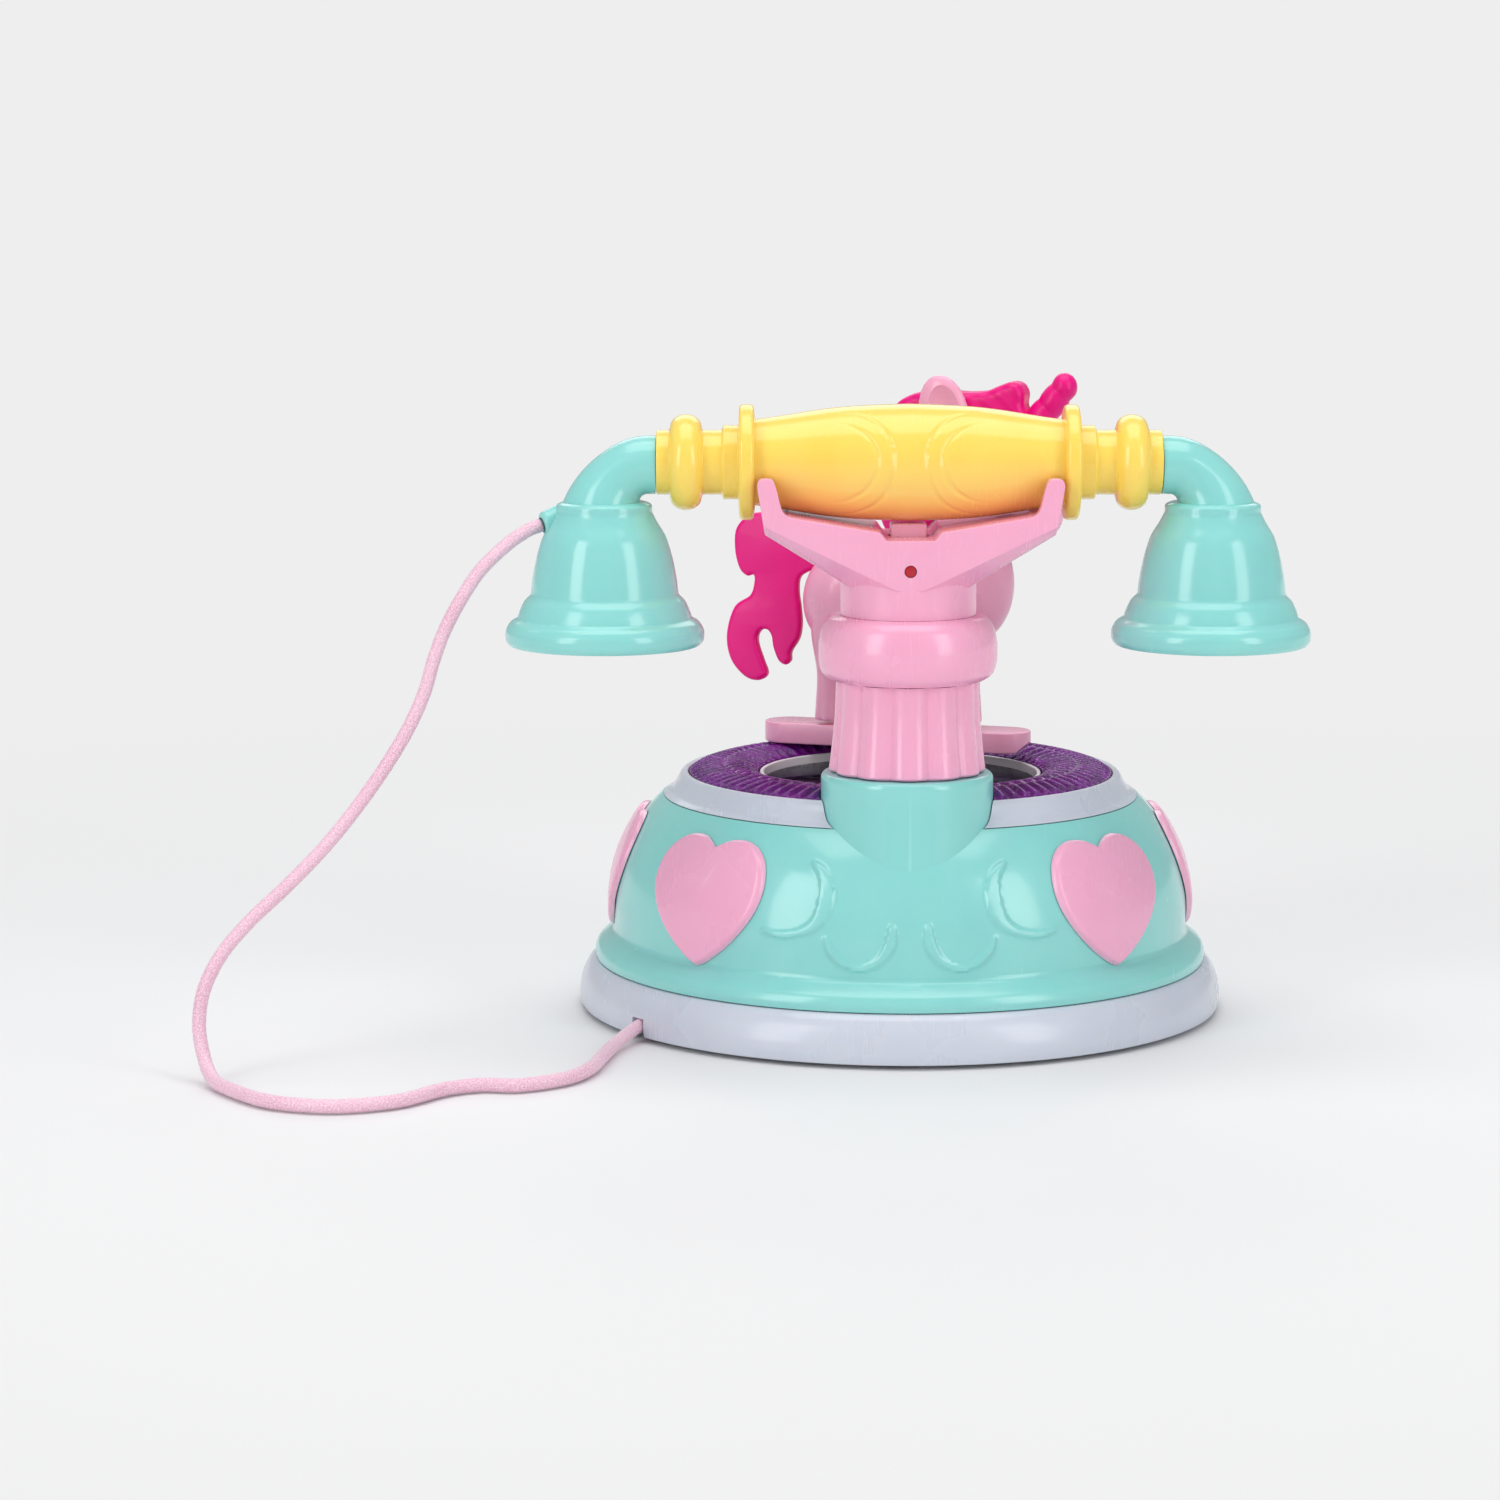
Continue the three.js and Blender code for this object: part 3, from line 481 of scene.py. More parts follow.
def block(name, low, high):
    """A box between two corners."""
    corners = [(x, y, z) for z in (low[2], high[2]) for x, y in
               ((low[0], low[1]), (high[0], low[1]), (high[0], high[1]), (low[0], high[1]))]
    return surface(name, [corners[:4], corners[4:]])


def evaluated(obj):
    """The mesh that an object's modifiers or curve settings make."""
    bpy.context.view_layer.update()
    return bpy.data.meshes.new_from_object(obj.evaluated_get(bpy.context.evaluated_depsgraph_get()))


def drawn(name, curve):
    """A filled outline or a letter as a mesh, not welded yet."""
    sketch = link(name + "_outline", curve)
    mesh = evaluated(sketch)
    bpy.data.objects.remove(sketch)
    return link(name, mesh)


def weld(obj):
    """Joins points that lie on each other, and turns the faces outwards."""
    edited = bmesh.new()
    edited.from_mesh(obj.data)
    bmesh.ops.remove_doubles(edited, verts=edited.verts, dist=1e-6)
    write_mesh(edited, obj.data)
    return obj


def flat_shape(name, outline, thickness, edge, axis="Y"):
    """A plate with rounded edges, cut to a closed outline and centred on it. axis is its thin direction."""
    data = bpy.data.curves.new(name, "CURVE")
    data.dimensions = "2D"
    data.fill_mode = "BOTH"
    data.extrude = (thickness / 2 - edge) * MM
    data.bevel_depth = edge * MM
    data.bevel_resolution = 4
    data.offset = -edge * MM
    spline = data.splines.new("POLY")
    spline.points.add(len(outline) - 1)
    for point, (x, y) in zip(spline.points, outline):
        point.co = (x * MM, y * MM, 0, 1)
    spline.use_cyclic_u = True
    plate = drawn(name, data)
    if axis == "Y":
        move(plate, turn=math.pi / 2, axis="X")
    return weld(plate)


def move(obj, offset=(0, 0, 0), turn=0.0, axis="Z"):
    """Turns a mesh about an axis through the origin, then moves it. The offset is in millimetres."""
    shift = Matrix.Translation(Vector(offset) * MM)
    obj.data.transform(shift @ Matrix.Rotation(turn, 4, axis))
    return obj


def reshape(obj, change):
    """Moves a mesh's points: change gets and gives them in millimetres."""
    flat = np.empty(len(obj.data.vertices) * 3)
    obj.data.vertices.foreach_get("co", flat)
    moved = change(flat.reshape(-1, 3) / MM) * MM
    obj.data.vertices.foreach_set("co", moved.ravel())
    obj.data.update()


def modify(obj, kind, **settings):
    """Applies one modifier with these settings to a mesh."""
    modifier = obj.modifiers.new(kind, kind)
    for name, value in settings.items():
        setattr(modifier, name, value)
    mesh = evaluated(obj)
    obj.modifiers.clear()
    obj.data = mesh
    return obj


def combine(obj, tool, operation="DIFFERENCE"):
    """Cuts the tool out of a mesh, or joins it on with operation UNION."""
    modify(obj, "BOOLEAN", operation=operation, solver="EXACT", object=tool)
    bpy.data.objects.remove(tool)


def soften(obj, width):
    """Rounds the sharp edges of a mesh."""
    return modify(obj, "BEVEL", width=width * MM, segments=3, limit_method="ANGLE",
                  angle_limit=math.radians(32))


def trim(obj, point, outward):
    """Cuts away what lies beyond a plane through a point, and closes the cut."""
    cut = bmesh.new()
    cut.from_mesh(obj.data)
    everything = cut.verts[:] + cut.edges[:] + cut.faces[:]
    found = bmesh.ops.bisect_plane(cut, geom=everything, plane_co=Vector(point) * MM, plane_no=outward,
                                   clear_outer=True)
    rim = [item for item in found["geom_cut"] if isinstance(item, bmesh.types.BMEdge)]
    bmesh.ops.triangle_fill(cut, edges=rim, use_beauty=True)
    write_mesh(cut, obj.data)
    return obj


def half_of(obj, name, side, middle, gap=GAP / 2):
    """A copy of one side of a mesh, cut on an upright plane across Y and closed there."""
    copy = link(name, obj.data.copy())
    return trim(copy, (0, middle + side * gap, 0), (0, -side, 0))


def join(name, objects):
    """One object from several."""
    merged = bmesh.new()
    for obj in objects:
        merged.from_mesh(obj.data)
        bpy.data.objects.remove(obj)
    mesh = bpy.data.meshes.new(name)
    merged.to_mesh(mesh)
    merged.free()
    return link(name, mesh)


def finish_piece(obj, body, slot, *nodes, sharp=34):
    """Gives a piece its material and smooth shading, and puts it in the place of its CAD nodes."""
    obj.data.materials.clear()
    obj.data.materials.append(materials[slot])
    obj.data.shade_smooth()
    obj.data.set_sharp_from_angle(angle=math.radians(sharp))
    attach(obj, body)
    if nodes:
        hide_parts(*nodes)


# ---- cord ----

# From inside the bell, in a loose arc down to the table, along it, and into the skirt's notch.
CORD_ROUTE = [
    (0.0926, 0.0487, 0.1324), (0.0960, 0.0504, 0.1311), (0.1010, 0.0535, 0.1278), (0.1073, 0.0573, 0.1219),
    (0.1120, 0.0600, 0.1150), (0.1160, 0.0620, 0.1075), (0.1188, 0.0635, 0.1000), (0.1212, 0.0650, 0.0918),
    (0.1252, 0.0670, 0.0830), (0.1310, 0.0702, 0.0735), (0.1380, 0.0739, 0.0638), (0.1460, 0.0780, 0.0543),
    (0.1546, 0.0826, 0.0458), (0.1630, 0.0870, 0.0382), (0.1696, 0.0905, 0.0306), (0.1738, 0.0928, 0.0222),
    (0.1750, 0.0940, 0.0135), (0.1735, 0.0970, 0.0060), (0.1705, 0.1040, 0.0023), (0.1658, 0.1125, 0.0020),
    (0.1563, 0.1245, 0.0020), (0.1465, 0.1298, 0.0020), (0.1360, 0.1308, 0.0020), (0.1235, 0.1252, 0.0020),
    (0.1135, 0.1130, 0.0020), (0.1050, 0.1085, 0.0020), (0.0955, 0.1088, 0.0020), (0.0848, 0.1015, 0.0020),
    (0.0794, 0.0910, 0.0020), (0.0770, 0.0790, 0.0020), (0.0746, 0.0665, 0.0022), (0.0714, 0.0568, 0.0030),
    (0.0684, 0.0508, 0.0040), (0.0652, 0.0477, 0.0050),
]
CORD_DIAMETER = 0.0035
CORD_SIDES = 24
STRANDS = 4  # each way round the cord
STRAND_PITCH = 0.0042  # how far a strand runs along the cord before the next one is in its place


def evenly(path, spacing):
    """The same path with its points a fixed distance apart."""
    steps = np.linalg.norm(np.diff(path, axis=0), axis=1)
    run = np.concatenate([[0], np.cumsum(steps)])
    places = np.linspace(0, run[-1], int(run[-1] / spacing) + 1)
    return np.stack([np.interp(places, run, path[:, k]) for k in range(3)], axis=1), places


def braid(around, along):
    """Height, from 0 to 1, of a round braid whose strands cross over and under each other."""
    turn = STRANDS * around / (2 * math.pi)
    one = turn + along / STRAND_PITCH
    other = turn - along / STRAND_PITCH
    over = (np.floor(one) + np.floor(other)) % 2 < 1
    return np.where(over, np.sin(math.pi * (one % 1)), np.sin(math.pi * (other % 1))) ** 0.6


def cord_rows(path, places):
    """Rings of points round the path, kept from twisting, with the braid's relief."""
    ahead = np.gradient(path, axis=0)
    ahead /= np.linalg.norm(ahead, axis=1)[:, None]
    angles = angles_round(CORD_SIDES)
    beside = np.cross(ahead[0], (0, 0, 1))
    for centre, forward, place in zip(path, ahead, places):
        beside = beside - forward * beside.dot(forward)
        beside /= np.linalg.norm(beside)
        upward = np.cross(beside, forward)
        reach = CORD_DIAMETER / 2 * (0.9 + 0.1 * braid(angles, place))
        ring = centre + reach[:, None] * (np.cos(angles)[:, None] * beside + np.sin(angles)[:, None] * upward)
        yield ring / MM


def wrap_cord(mesh, places):
    """Lays a map on the cord for its threads: U is the distance along it, and V the turn round it."""
    wrap = mesh.uv_layers.new(name="length_and_turn")
    for face in mesh.polygons:
        corners = [mesh.loops[i].vertex_index for i in face.loop_indices]
        turns = [corner % CORD_SIDES for corner in corners]
        over_seam = max(turns) - min(turns) > CORD_SIDES / 2
        for index, corner, turn in zip(face.loop_indices, corners, turns):
            wrapped = turn + CORD_SIDES if over_seam and turn < CORD_SIDES / 2 else turn
            wrap.data[index].uv = (places[corner // CORD_SIDES], wrapped / CORD_SIDES)


def make_cord():
    path, places = evenly(smooth_path(CORD_ROUTE, 12), 0.00035)
    cord = surface("cord_braided", list(cord_rows(path, places)))
    wrap_cord(cord.data, places)
    cord.data.materials.append(materials["satin_cord"])
    cord.data.shade_smooth()
    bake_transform(cord)
    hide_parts("handset_cord")


make_cord()

# ---- base ----

DOME_ARC = 38.2  # radius of the arc that the dome's side follows
DOME_CENTRE = 37.8  # how far the arc's centre is from the dome's axis
DOME_START = 28  # the height of that centre, where the upright side ends
DOME_TOP = 56.6
DOME_RADIUS = DOME_CENTRE + DOME_ARC
SOCKET_RADIUS = 21.9
RING_INNER = 37.8
RING_OUTER = 56
RING_CREST = 47  # radius of the ring's highest line
RING_TOP = 64.6
RING_DROP = 2.1  # from the crest down to the inner rim
HOLE_DEPTH = (50, 80)  # from below the mirror to above the socket
CORD_NOTCH_AT = math.radians(36.3)


def dome_side():
    """The dome's arc from its upright side to its top."""
    last = math.asin((DOME_TOP - DOME_START) / DOME_ARC)
    return [(DOME_CENTRE + DOME_ARC * math.cos(a), DOME_START + DOME_ARC * math.sin(a))
            for a in np.linspace(0, last, 67)]


def above_dome(points):
    """How far points are outside the dome's surface."""
    across = np.hypot(points[:, 0], points[:, 1])
    height = points[:, 2] - DOME_START
    return np.where(height > 0, np.hypot(across - DOME_CENTRE, height) - DOME_ARC, across - DOME_RADIUS)


def off_dome(points):
    """The directions in which the dome's surface faces at points on it."""
    across = np.hypot(points[:, 0], points[:, 1])
    height = np.maximum(points[:, 2] - DOME_START, 0)
    flat = across - DOME_CENTRE
    length = np.hypot(flat, height)
    flat = flat / length
    return np.stack([flat * points[:, 0] / across, flat * points[:, 1] / across, height / length], axis=1)


def on_dome(obj, azimuth, slope):
    """Puts a mesh made about +Z on the dome, standing out from its surface at that spot."""
    radius = DOME_CENTRE + DOME_ARC * math.cos(slope)
    height = DOME_START + DOME_ARC * math.sin(slope)
    move(obj, (radius, 0, height), math.pi / 2 - slope, "Y")
    return move(obj, turn=azimuth)


def socket_hole():
    """The space that the socket takes out of the bezel, the ring and the dish."""
    return disc("hole", SOCKET_RADIUS + GAP, *HOLE_DEPTH, (0, COLUMN_Y), 128)


def make_skirt():
    outline = rounded([
        (81.6, 1.2), (84.9, 1.2, 0.5), (85.3, 3.4, 1), (85.1, 6.6, 1.5), (84.2, 9.6, 1.4),
        (82.5, 12.3, 0.8), (81.1, 13.4, 0.6), (78.4, 13.4), (78.4, 10.4), (81.6, 8),
    ])
    skirt = turned("skirt_moulded", outline, 256)
    combine(skirt, move(block("notch", (77, -2.4, 0), (88, 2.4, 6)), turn=CORD_NOTCH_AT))
    finish_piece(skirt, "base", "lavender_plastic", "base_skirt")


# Raised scrolls under the socket, one side of a mirrored pair: distance round the dome from its
# middle, height, and half the width of the stroke there.
SCROLLS = [
    [(26.5, 49, 0.5), (23.3, 46.6, 1.3), (21.7, 42.6, 1.9), (22.2, 38, 2), (24.2, 34.6, 1.5), (28, 32.4, 1),
     (33, 31.4, 0.9), (38, 31.9, 0.6)],
    [(4.6, 34.8, 0.6), (4.5, 32.2, 1.3), (5.6, 28.8, 1.3), (8.2, 25.6, 1), (12.5, 23.9, 0.9), (17, 25.2, 0.9),
     (20, 28, 0.8), (21.2, 30.8, 0.6)],
]


def scroll_relief(points):
    """How far the scrolls raise each point of the dome's outer surface."""
    across = np.abs(np.arctan2(points[:, 0], points[:, 1])) * DOME_RADIUS
    relief = np.zeros(len(points))
    for scroll in SCROLLS:
        for middle, height, half in smooth_path(scroll, 8):
            distance = np.hypot(across - middle, points[:, 2] - height)
            share = np.clip((half - distance) / 0.8 + 0.5, 0, 1)
            relief = np.maximum(relief, share * share * (3 - 2 * share) * min(1, half + 0.2))
    return 0.75 * relief


def raise_scrolls(points):
    outside = (np.abs(above_dome(points)) < 0.01) & (points[:, 1] > 30) & (points[:, 2] > 21)
    relief = np.where(outside, scroll_relief(points), 0)
    return points + off_dome(points) * relief[:, None]


def key_places():
    """Two rows of five keys across the front, 1 to 5 above and 6 to 0 below."""
    for digit in range(1, 11):
        across = (digit - 1) % 5 - 2
        slope = 35 if digit <= 5 else 11
        yield digit % 10, math.radians(-90 + across * 12), math.radians(slope)


def make_dome():
    upright = [(DOME_RADIUS, z) for z in np.linspace(21.2, 27.3, 9)]
    bead = rounded([
        (80.9, 13.7), (81.2, 15.4, 0.8), (80.5, 17.4, 1), (78.4, 19, 1.1), (76.5, 20.3, 0.5), (76, 21.2),
    ])
    inner = [(58.8, DOME_TOP), (64, 52.4), (69, 45), (72.6, 34), (73.3, 17.6), (78, 14.6), (78, 13.7)]
    dome = turned("dome_moulded", bead[:-1] + upright + dome_side() + inner, 900)
    reshape(dome, raise_scrolls)
    socket = rounded([
        (0, 46), (SOCKET_RADIUS, 46), (SOCKET_RADIUS, 69.7, 1.8), (16.2, 69.7, 0.5), (16.2, 57.5), (0, 57.5),
    ], 8)
    combine(dome, turned("socket", socket, 160, (0, COLUMN_Y)), "UNION")
    holes = [on_dome(disc("hole", 5.6, -10, 10), azimuth, slope) for _, azimuth, slope in key_places()]
    combine(dome, join("holes", holes))
    finish_piece(dome, "base", "turquoise_plastic", "dome_shell")


def make_bezel():
    outline = rounded([
        (58.4, 54.9), (55.2, 54.9), (55.2, 57.6), (52.5, 57.6), (52.5, 59.5), (56.3, 59.5), (56.3, 62.6, 0.3),
        (57.4, 62.9, 0.4), (58.3, 62.2, 0.6), (59.4, 60, 1), (60.7, 58, 0.8), (62.9, 56.8, 0.2), (58.4, 56.8),
    ])
    bezel = turned("bezel_moulded", outline, 256)
    combine(bezel, socket_hole())
    finish_piece(bezel, "base", "lavender_plastic", "top_bezel")


def ring_rays(points):
    """Raises fine slanting rays on the ring's top, finer outside than inside."""
    radius = np.hypot(points[:, 0], points[:, 1])
    around = np.arctan2(points[:, 1], points[:, 0])
    outer = np.sin(around * 96 + (radius - RING_CREST) * 0.20)
    inner = np.sin(around * 72 - (radius - RING_CREST) * 0.24)
    rays = np.where(radius > RING_CREST, outer, inner)
    rims = np.clip(np.minimum(radius - RING_INNER, RING_OUTER - radius) / 1.5, 0, 1)
    fade = rims * np.clip(np.abs(radius - RING_CREST) / 1.2, 0, 1)
    on_top = points[:, 2] > RING_TOP - RING_DROP - 0.2
    lift = np.where(on_top, 0.6 * fade * np.sign(rays) * np.abs(rays) ** 0.7, 0)
    return points + lift[:, None] * (0, 0, 1)


def make_ring():
    slopes = [(r, RING_TOP - RING_DROP * ((r - RING_CREST) / (RING_CREST - RING_INNER)) ** 2)
              for r in np.linspace(RING_OUTER, RING_INNER, 27)]
    ring = turned("ring_glittery", [(RING_INNER, 59.8), (RING_OUTER, 59.8), *slopes], 960)
    reshape(ring, ring_rays)
    combine(ring, socket_hole())
    finish_piece(ring, "base", "purple_glitter", "glitter_ring", sharp=60)


def make_dish():
    outline = rounded([
        (36.2, 57.6), (41, 57.6), (41, 59.5), (37.3, 59.5), (37.3, 62.4, 0.4), (36.2, 62.4, 0.4),
    ])
    rim = turned("dish_rim_moulded", outline)
    combine(rim, socket_hole())
    finish_piece(rim, "base", "white_plastic", "dish_rim")
    mirror = disc("dish_mirror_plate", 35.9, 58.6, 60.2, sides=160)
    combine(mirror, socket_hole())
    combine(mirror, disc("hole", 3.4, *HOLE_DEPTH, (0, TURNTABLE_Y)))
    finish_piece(soften(mirror, 0.2), "base", "smoked_mirror", "dish_mirror")


# Half of a heart's outline from its notch over one lobe to its tip.
HEART = [(0, 13.1), (1.9, 14.4), (5.2, 16), (9.2, 16.2), (13.4, 14.6), (16.9, 11), (18.6, 5.4), (17.8, -0.4),
         (14.4, -6.3), (9, -11.8), (3.4, -15.7), (0, -17.2)]


def heart_outline():
    half = smooth_path(HEART, 5)
    return np.concatenate([half, (half[1:-1] * (-1, 1))[::-1]])


def make_heart(name, node, azimuth):
    """A curved plate with a soft edge, lying just off the dome."""
    slope = math.radians(15)
    away = np.array([math.cos(azimuth), math.sin(azimuth), 0])
    along = np.array([-math.sin(azimuth), math.cos(azimuth), 0])
    out = away * math.cos(slope) + np.array([0, 0, math.sin(slope)])
    up = np.cross(out, along)
    middle = away * DOME_CENTRE + out * DOME_ARC + np.array([0, 0, DOME_START])
    outline = heart_outline()
    shares = [0.001, 0.3, 0.6, 0.8, 0.9, 0.93, 0.955, 0.975, 0.99, 1]
    rows = []
    for share in shares + shares[::-1]:
        top = len(rows) < len(shares)
        edge = max(0, (share - 0.93) / 0.07)
        height = GAP + 1.5 * math.sqrt(1 - edge ** 2) if top else GAP
        flat = middle + np.outer(outline[:, 0] * share, along) + np.outer(outline[:, 1] * share, up)
        lifted = flat.copy()
        for _ in range(12):
            lifted += np.outer(height - above_dome(lifted), out)
        rows.append(lifted)
    heart = surface(name, rows)
    finish_piece(heart, "base", "pink_plastic", node, sharp=50)


def raised_digit(name, digit):
    """A digit that stands on its key, with its top towards the dome's top."""
    data = bpy.data.curves.new("digit", "FONT")
    data.body = str(digit)
    data.size = 6.4 * MM
    data.align_x, data.align_y = "CENTER", "CENTER"
    data.extrude = 0.3 * MM
    data.bevel_depth = 0.08 * MM
    return weld(move(drawn(name, data), (0, 0, 1.95), math.pi / 2))


def make_key(digit, azimuth, slope):
    outline = rounded([
        (0, -5.6), (6.1, -5.6), (6.1, -4.4), (5.2, -4.4), (5.2, 2.35, 0.7), (3.9, 2.3, 0.6), (0, 1.9),
    ])
    name = f"key_{digit}"
    cap = on_dome(turned(name + "_cap", outline, 72), azimuth, slope)
    finish_piece(cap, name, "pink_plastic", name)
    mark = on_dome(raised_digit(name + "_digit", digit), azimuth, slope)
    finish_piece(mark, name, "white_plastic")


def make_base():
    make_skirt()
    make_dome()
    make_bezel()
    make_ring()
    make_dish()
    hearts = {"heart_back_left": 45.7, "heart_back_right": 134.3, "heart_left": -2, "heart_right": 182}
    for node, azimuth in hearts.items():
        make_heart(node + "_plate", node, math.radians(azimuth))
    for place in key_places():
        make_key(*place)


# ---- column and cradle ----


def make_column():
    """Twelve convex flutes that widen a little towards the foot, on a plain spigot and neck."""
    flutes, per_flute = 12, 14
    count = flutes * per_flute
    angles = (np.arange(count) / per_flute + 0.5) / flutes * 2 * math.pi
    across = (np.arange(count) % per_flute) / per_flute * 2 - 1
    levels = [
        (58, 15.9, 0), (70, 15.9, 0), (70, 19.4, 1.2), (70.5, 19.9, 1.4), (76, 19.2, 1.4),
        (84, 18.4, 1.3), (93.1, 18.1, 1.2), (93.1, 14.4, 0), (109.9, 14.4, 0),
    ]
    rows = [ring_points((0, COLUMN_Y), radius - depth * across ** 2, height, angles)
            for height, radius, depth in levels]
    finish_piece(surface("column_fluted", rows), "base", "pink_plastic", "column_lower", sharp=24)


def make_collar():
    outline = rounded([
        (14.7, 93.4), (19.4, 93.4, 0.6), (21.8, 94.9, 1.4), (22.7, 98, 1.6), (22.7, 103.4, 2),
        (21.6, 107.4, 1.6), (19.8, 109.4, 1), (18.2, 109.9, 0.4), (14.7, 109.9),
    ], 8)
    collar = turned("collar_moulded", outline, 160, (0, COLUMN_Y))
    finish_piece(collar, "base", "pink_plastic", "column_collar")


CRADLE_DEPTH = 17.2  # from the cradle's middle to each flat face


def make_fork():
    """The fork's plate, with its underside slanting back from a V on each flat face."""
    right = rounded([
        (14.6, 117.4), (36.2, 131.2), (38.2, 143.6, 1), (37.6, 145.3, 1.2), (34.4, 145.3, 1.2),
        (33.6, 143.6, 1), (31.7, 136, 2.4), (7.6, 132, 0.6), (6.1, 129.9),
    ], 4)
    outline = [(x, z) for x, z in right] + [(-x, z) for x, z in reversed(right)]
    rows = [[(x, y, z) for x, z in outline] for y in (-CRADLE_DEPTH, CRADLE_DEPTH)]
    fork = surface("fork", rows)
    corner = Vector((2.6, CRADLE_DEPTH, 117.1))
    slant = (Vector((35.9, CRADLE_DEPTH, 133.2)) - corner).cross(Vector((14.6, 9, 117.4)) - corner)
    slant *= -1 if slant.z > 0 else 1
    for across in (1, -1):
        for back in (1, -1):
            mirror = Vector((across, back, 1))
            trim(fork, corner * mirror, slant * mirror)
    return fork


def make_cradle():
    cradle = make_fork()
    combine(cradle, block("trough", (-60, -11.9, 136), (60, 11.9, 150)))
    combine(cradle, block("hook_way", (-4.95, -4.4, 100), (4.95, 4.4, 140)))
    soften(cradle, 0.55)
    combine(cradle, disc("shaft", CRADLE_DEPTH, 109.95, 124, sides=160), "UNION")
    combine(cradle, block("hook_way", (-4.95, -4.4, 100), (4.95, 4.4, 140)))
    hole = rounded([(0, 9), (1.55, 9), (1.55, 17.1), (1.75, 17.4), (1.75, 30), (0, 30)])
    combine(cradle, move(turned("hole", hole, 48), (0, 0, 122.3), -math.pi / 2, "X"))
    move(cradle, (0, COLUMN_Y, 0))
    for side, word in ((1, "back"), (-1, "front")):
        half = half_of(cradle, f"cradle_{word}_shell", side, COLUMN_Y)
        finish_piece(half, "base", "pink_plastic", f"cradle_{word}", sharp=30)
    bpy.data.objects.remove(cradle)
    # a crimson cap sunk in the screw hole: painted shade standing in for the dark depth of the hole
    hole_shade_plug = turned("cradle_plug_cap", rounded([(0, 12.6), (1.45, 12.6), (1.45, 16.9, 0.3), (0, 17)]), 48)
    move(hole_shade_plug, (0, COLUMN_Y, 122.3), -math.pi / 2, "X")
    finish_piece(hole_shade_plug, "base", "crimson_plastic", "cradle_plug")
    plunger = soften(block("hook_plunger_block", (-4.55, -4, 117.8), (4.55, 4, 133.1)), 0.6)
    finish_piece(move(plunger, (0, COLUMN_Y, 0)), "hook", "pink_plastic", "hook_plunger")


# ---- handset ----

# Half of the handle from its middle outwards: radius, distance along it, and corner rounding.
HANDLE_BARREL = [(14.7, 0), (14.45, 8), (14.05, 15), (13.3, 22), (12.2, 29), (11.4, 34), (10.8, 38.6)]
HANDLE_ENDS = [
    (10.8, 38.6), (14.5, 39, 1.1), (14.5, 42.6, 1.1), (9.3, 42.9, 0.3), (9.3, 46.6, 0.3),
    (8.1, 47, 0.2), (8.1, 51.8, 0.3), (10.6, 52.4, 1.2), (12, 54.6, 1.3), (12, 57.4, 1.3),
    (10.6, 59.6, 1.2), (8.1, 60.2, 0.3), (8.1, 63.4, 0.4), (5.6, 63.4),
]


def engrave(points):
    """Sinks two thin arcs on each side of the middle, on the front and on the back of the barrel."""
    along = np.abs(points[:, 0])
    around = (np.arctan2(points[:, 2] - 1.2, np.abs(points[:, 1]))) * 13
    depth = np.zeros(len(points))
    for half_length, half_height in ((19, 12), (23, 17)):
        across, up = (along - 27) / half_length, around / half_height
        distance = np.abs(np.hypot(across, up) - 1) * min(half_length, half_height)
        groove = np.clip(1 - distance / 0.7, 0, 1)
        fade = np.clip((0.92 - np.abs(up)) / 0.25, 0, 1) * (across < 0)
        depth = np.maximum(depth, groove ** 1.2 * fade)
    radius = np.hypot(points[:, 1], points[:, 2])
    sunk = np.where((radius > 10) & (along < 36), 0.38 * depth, 0)
    points[:, 1:] *= (1 - sunk / np.maximum(radius, 1))[:, None]
    return points


def make_handle():
    barrel = [tuple(p) for p in smooth_path(HANDLE_BARREL, 16)[:-1]]
    ends = rounded(HANDLE_ENDS)
    half = barrel + ends
    bore = [(5.6, 46), (8.4, 36), (11.6, 4)]
    outline = [(r, -x) for r, x in reversed(half[1:])] + half + bore + [(r, -x) for r, x in reversed(bore)]
    handle = turned("handle", outline, 320)
    move(handle, turn=math.pi / 2, axis="Y")
    reshape(handle, engrave)
    move(handle, (0, COLUMN_Y, HANDSET_Z))
    for side, word in ((1, "back"), (-1, "front")):
        half = half_of(handle, f"handle_{word}_shell", side, COLUMN_Y, 0.07)
        finish_piece(half, "handset", "yellow_plastic", f"handle_shell_{word}")
    bpy.data.objects.remove(handle)


def make_elbow(side, word):
    """A bend about a pivot under the end of the handle, widening towards the bell."""
    pivot_x, pivot_z = 65.5, -9.9
    angles = angles_round(64)
    rows = []
    for degrees, start in [(90, 1.9), (90, 0.6), *((bend, 0) for bend in np.linspace(90, 0, 33))]:
        turn = math.radians(degrees)
        inner = 1.9 + 0.3 * (1 - degrees / 90)
        outer = 16.6 + 4.9 * max(0, 1 - degrees / 62) ** 2
        middle, radius = (outer + inner) / 2, (outer - inner) / 2
        reach = middle + radius * np.cos(angles)
        x = side * (pivot_x - start + reach * math.cos(turn))
        z = pivot_z + reach * math.sin(turn)
        rows.append(np.stack([x, radius * np.sin(angles) + COLUMN_Y, z + HANDSET_Z], axis=1))
    bend = surface(f"elbow_{word}_bend", rows)
    finish_piece(bend, "handset", "turquoise_plastic", f"elbow_{word}", sharp=50)


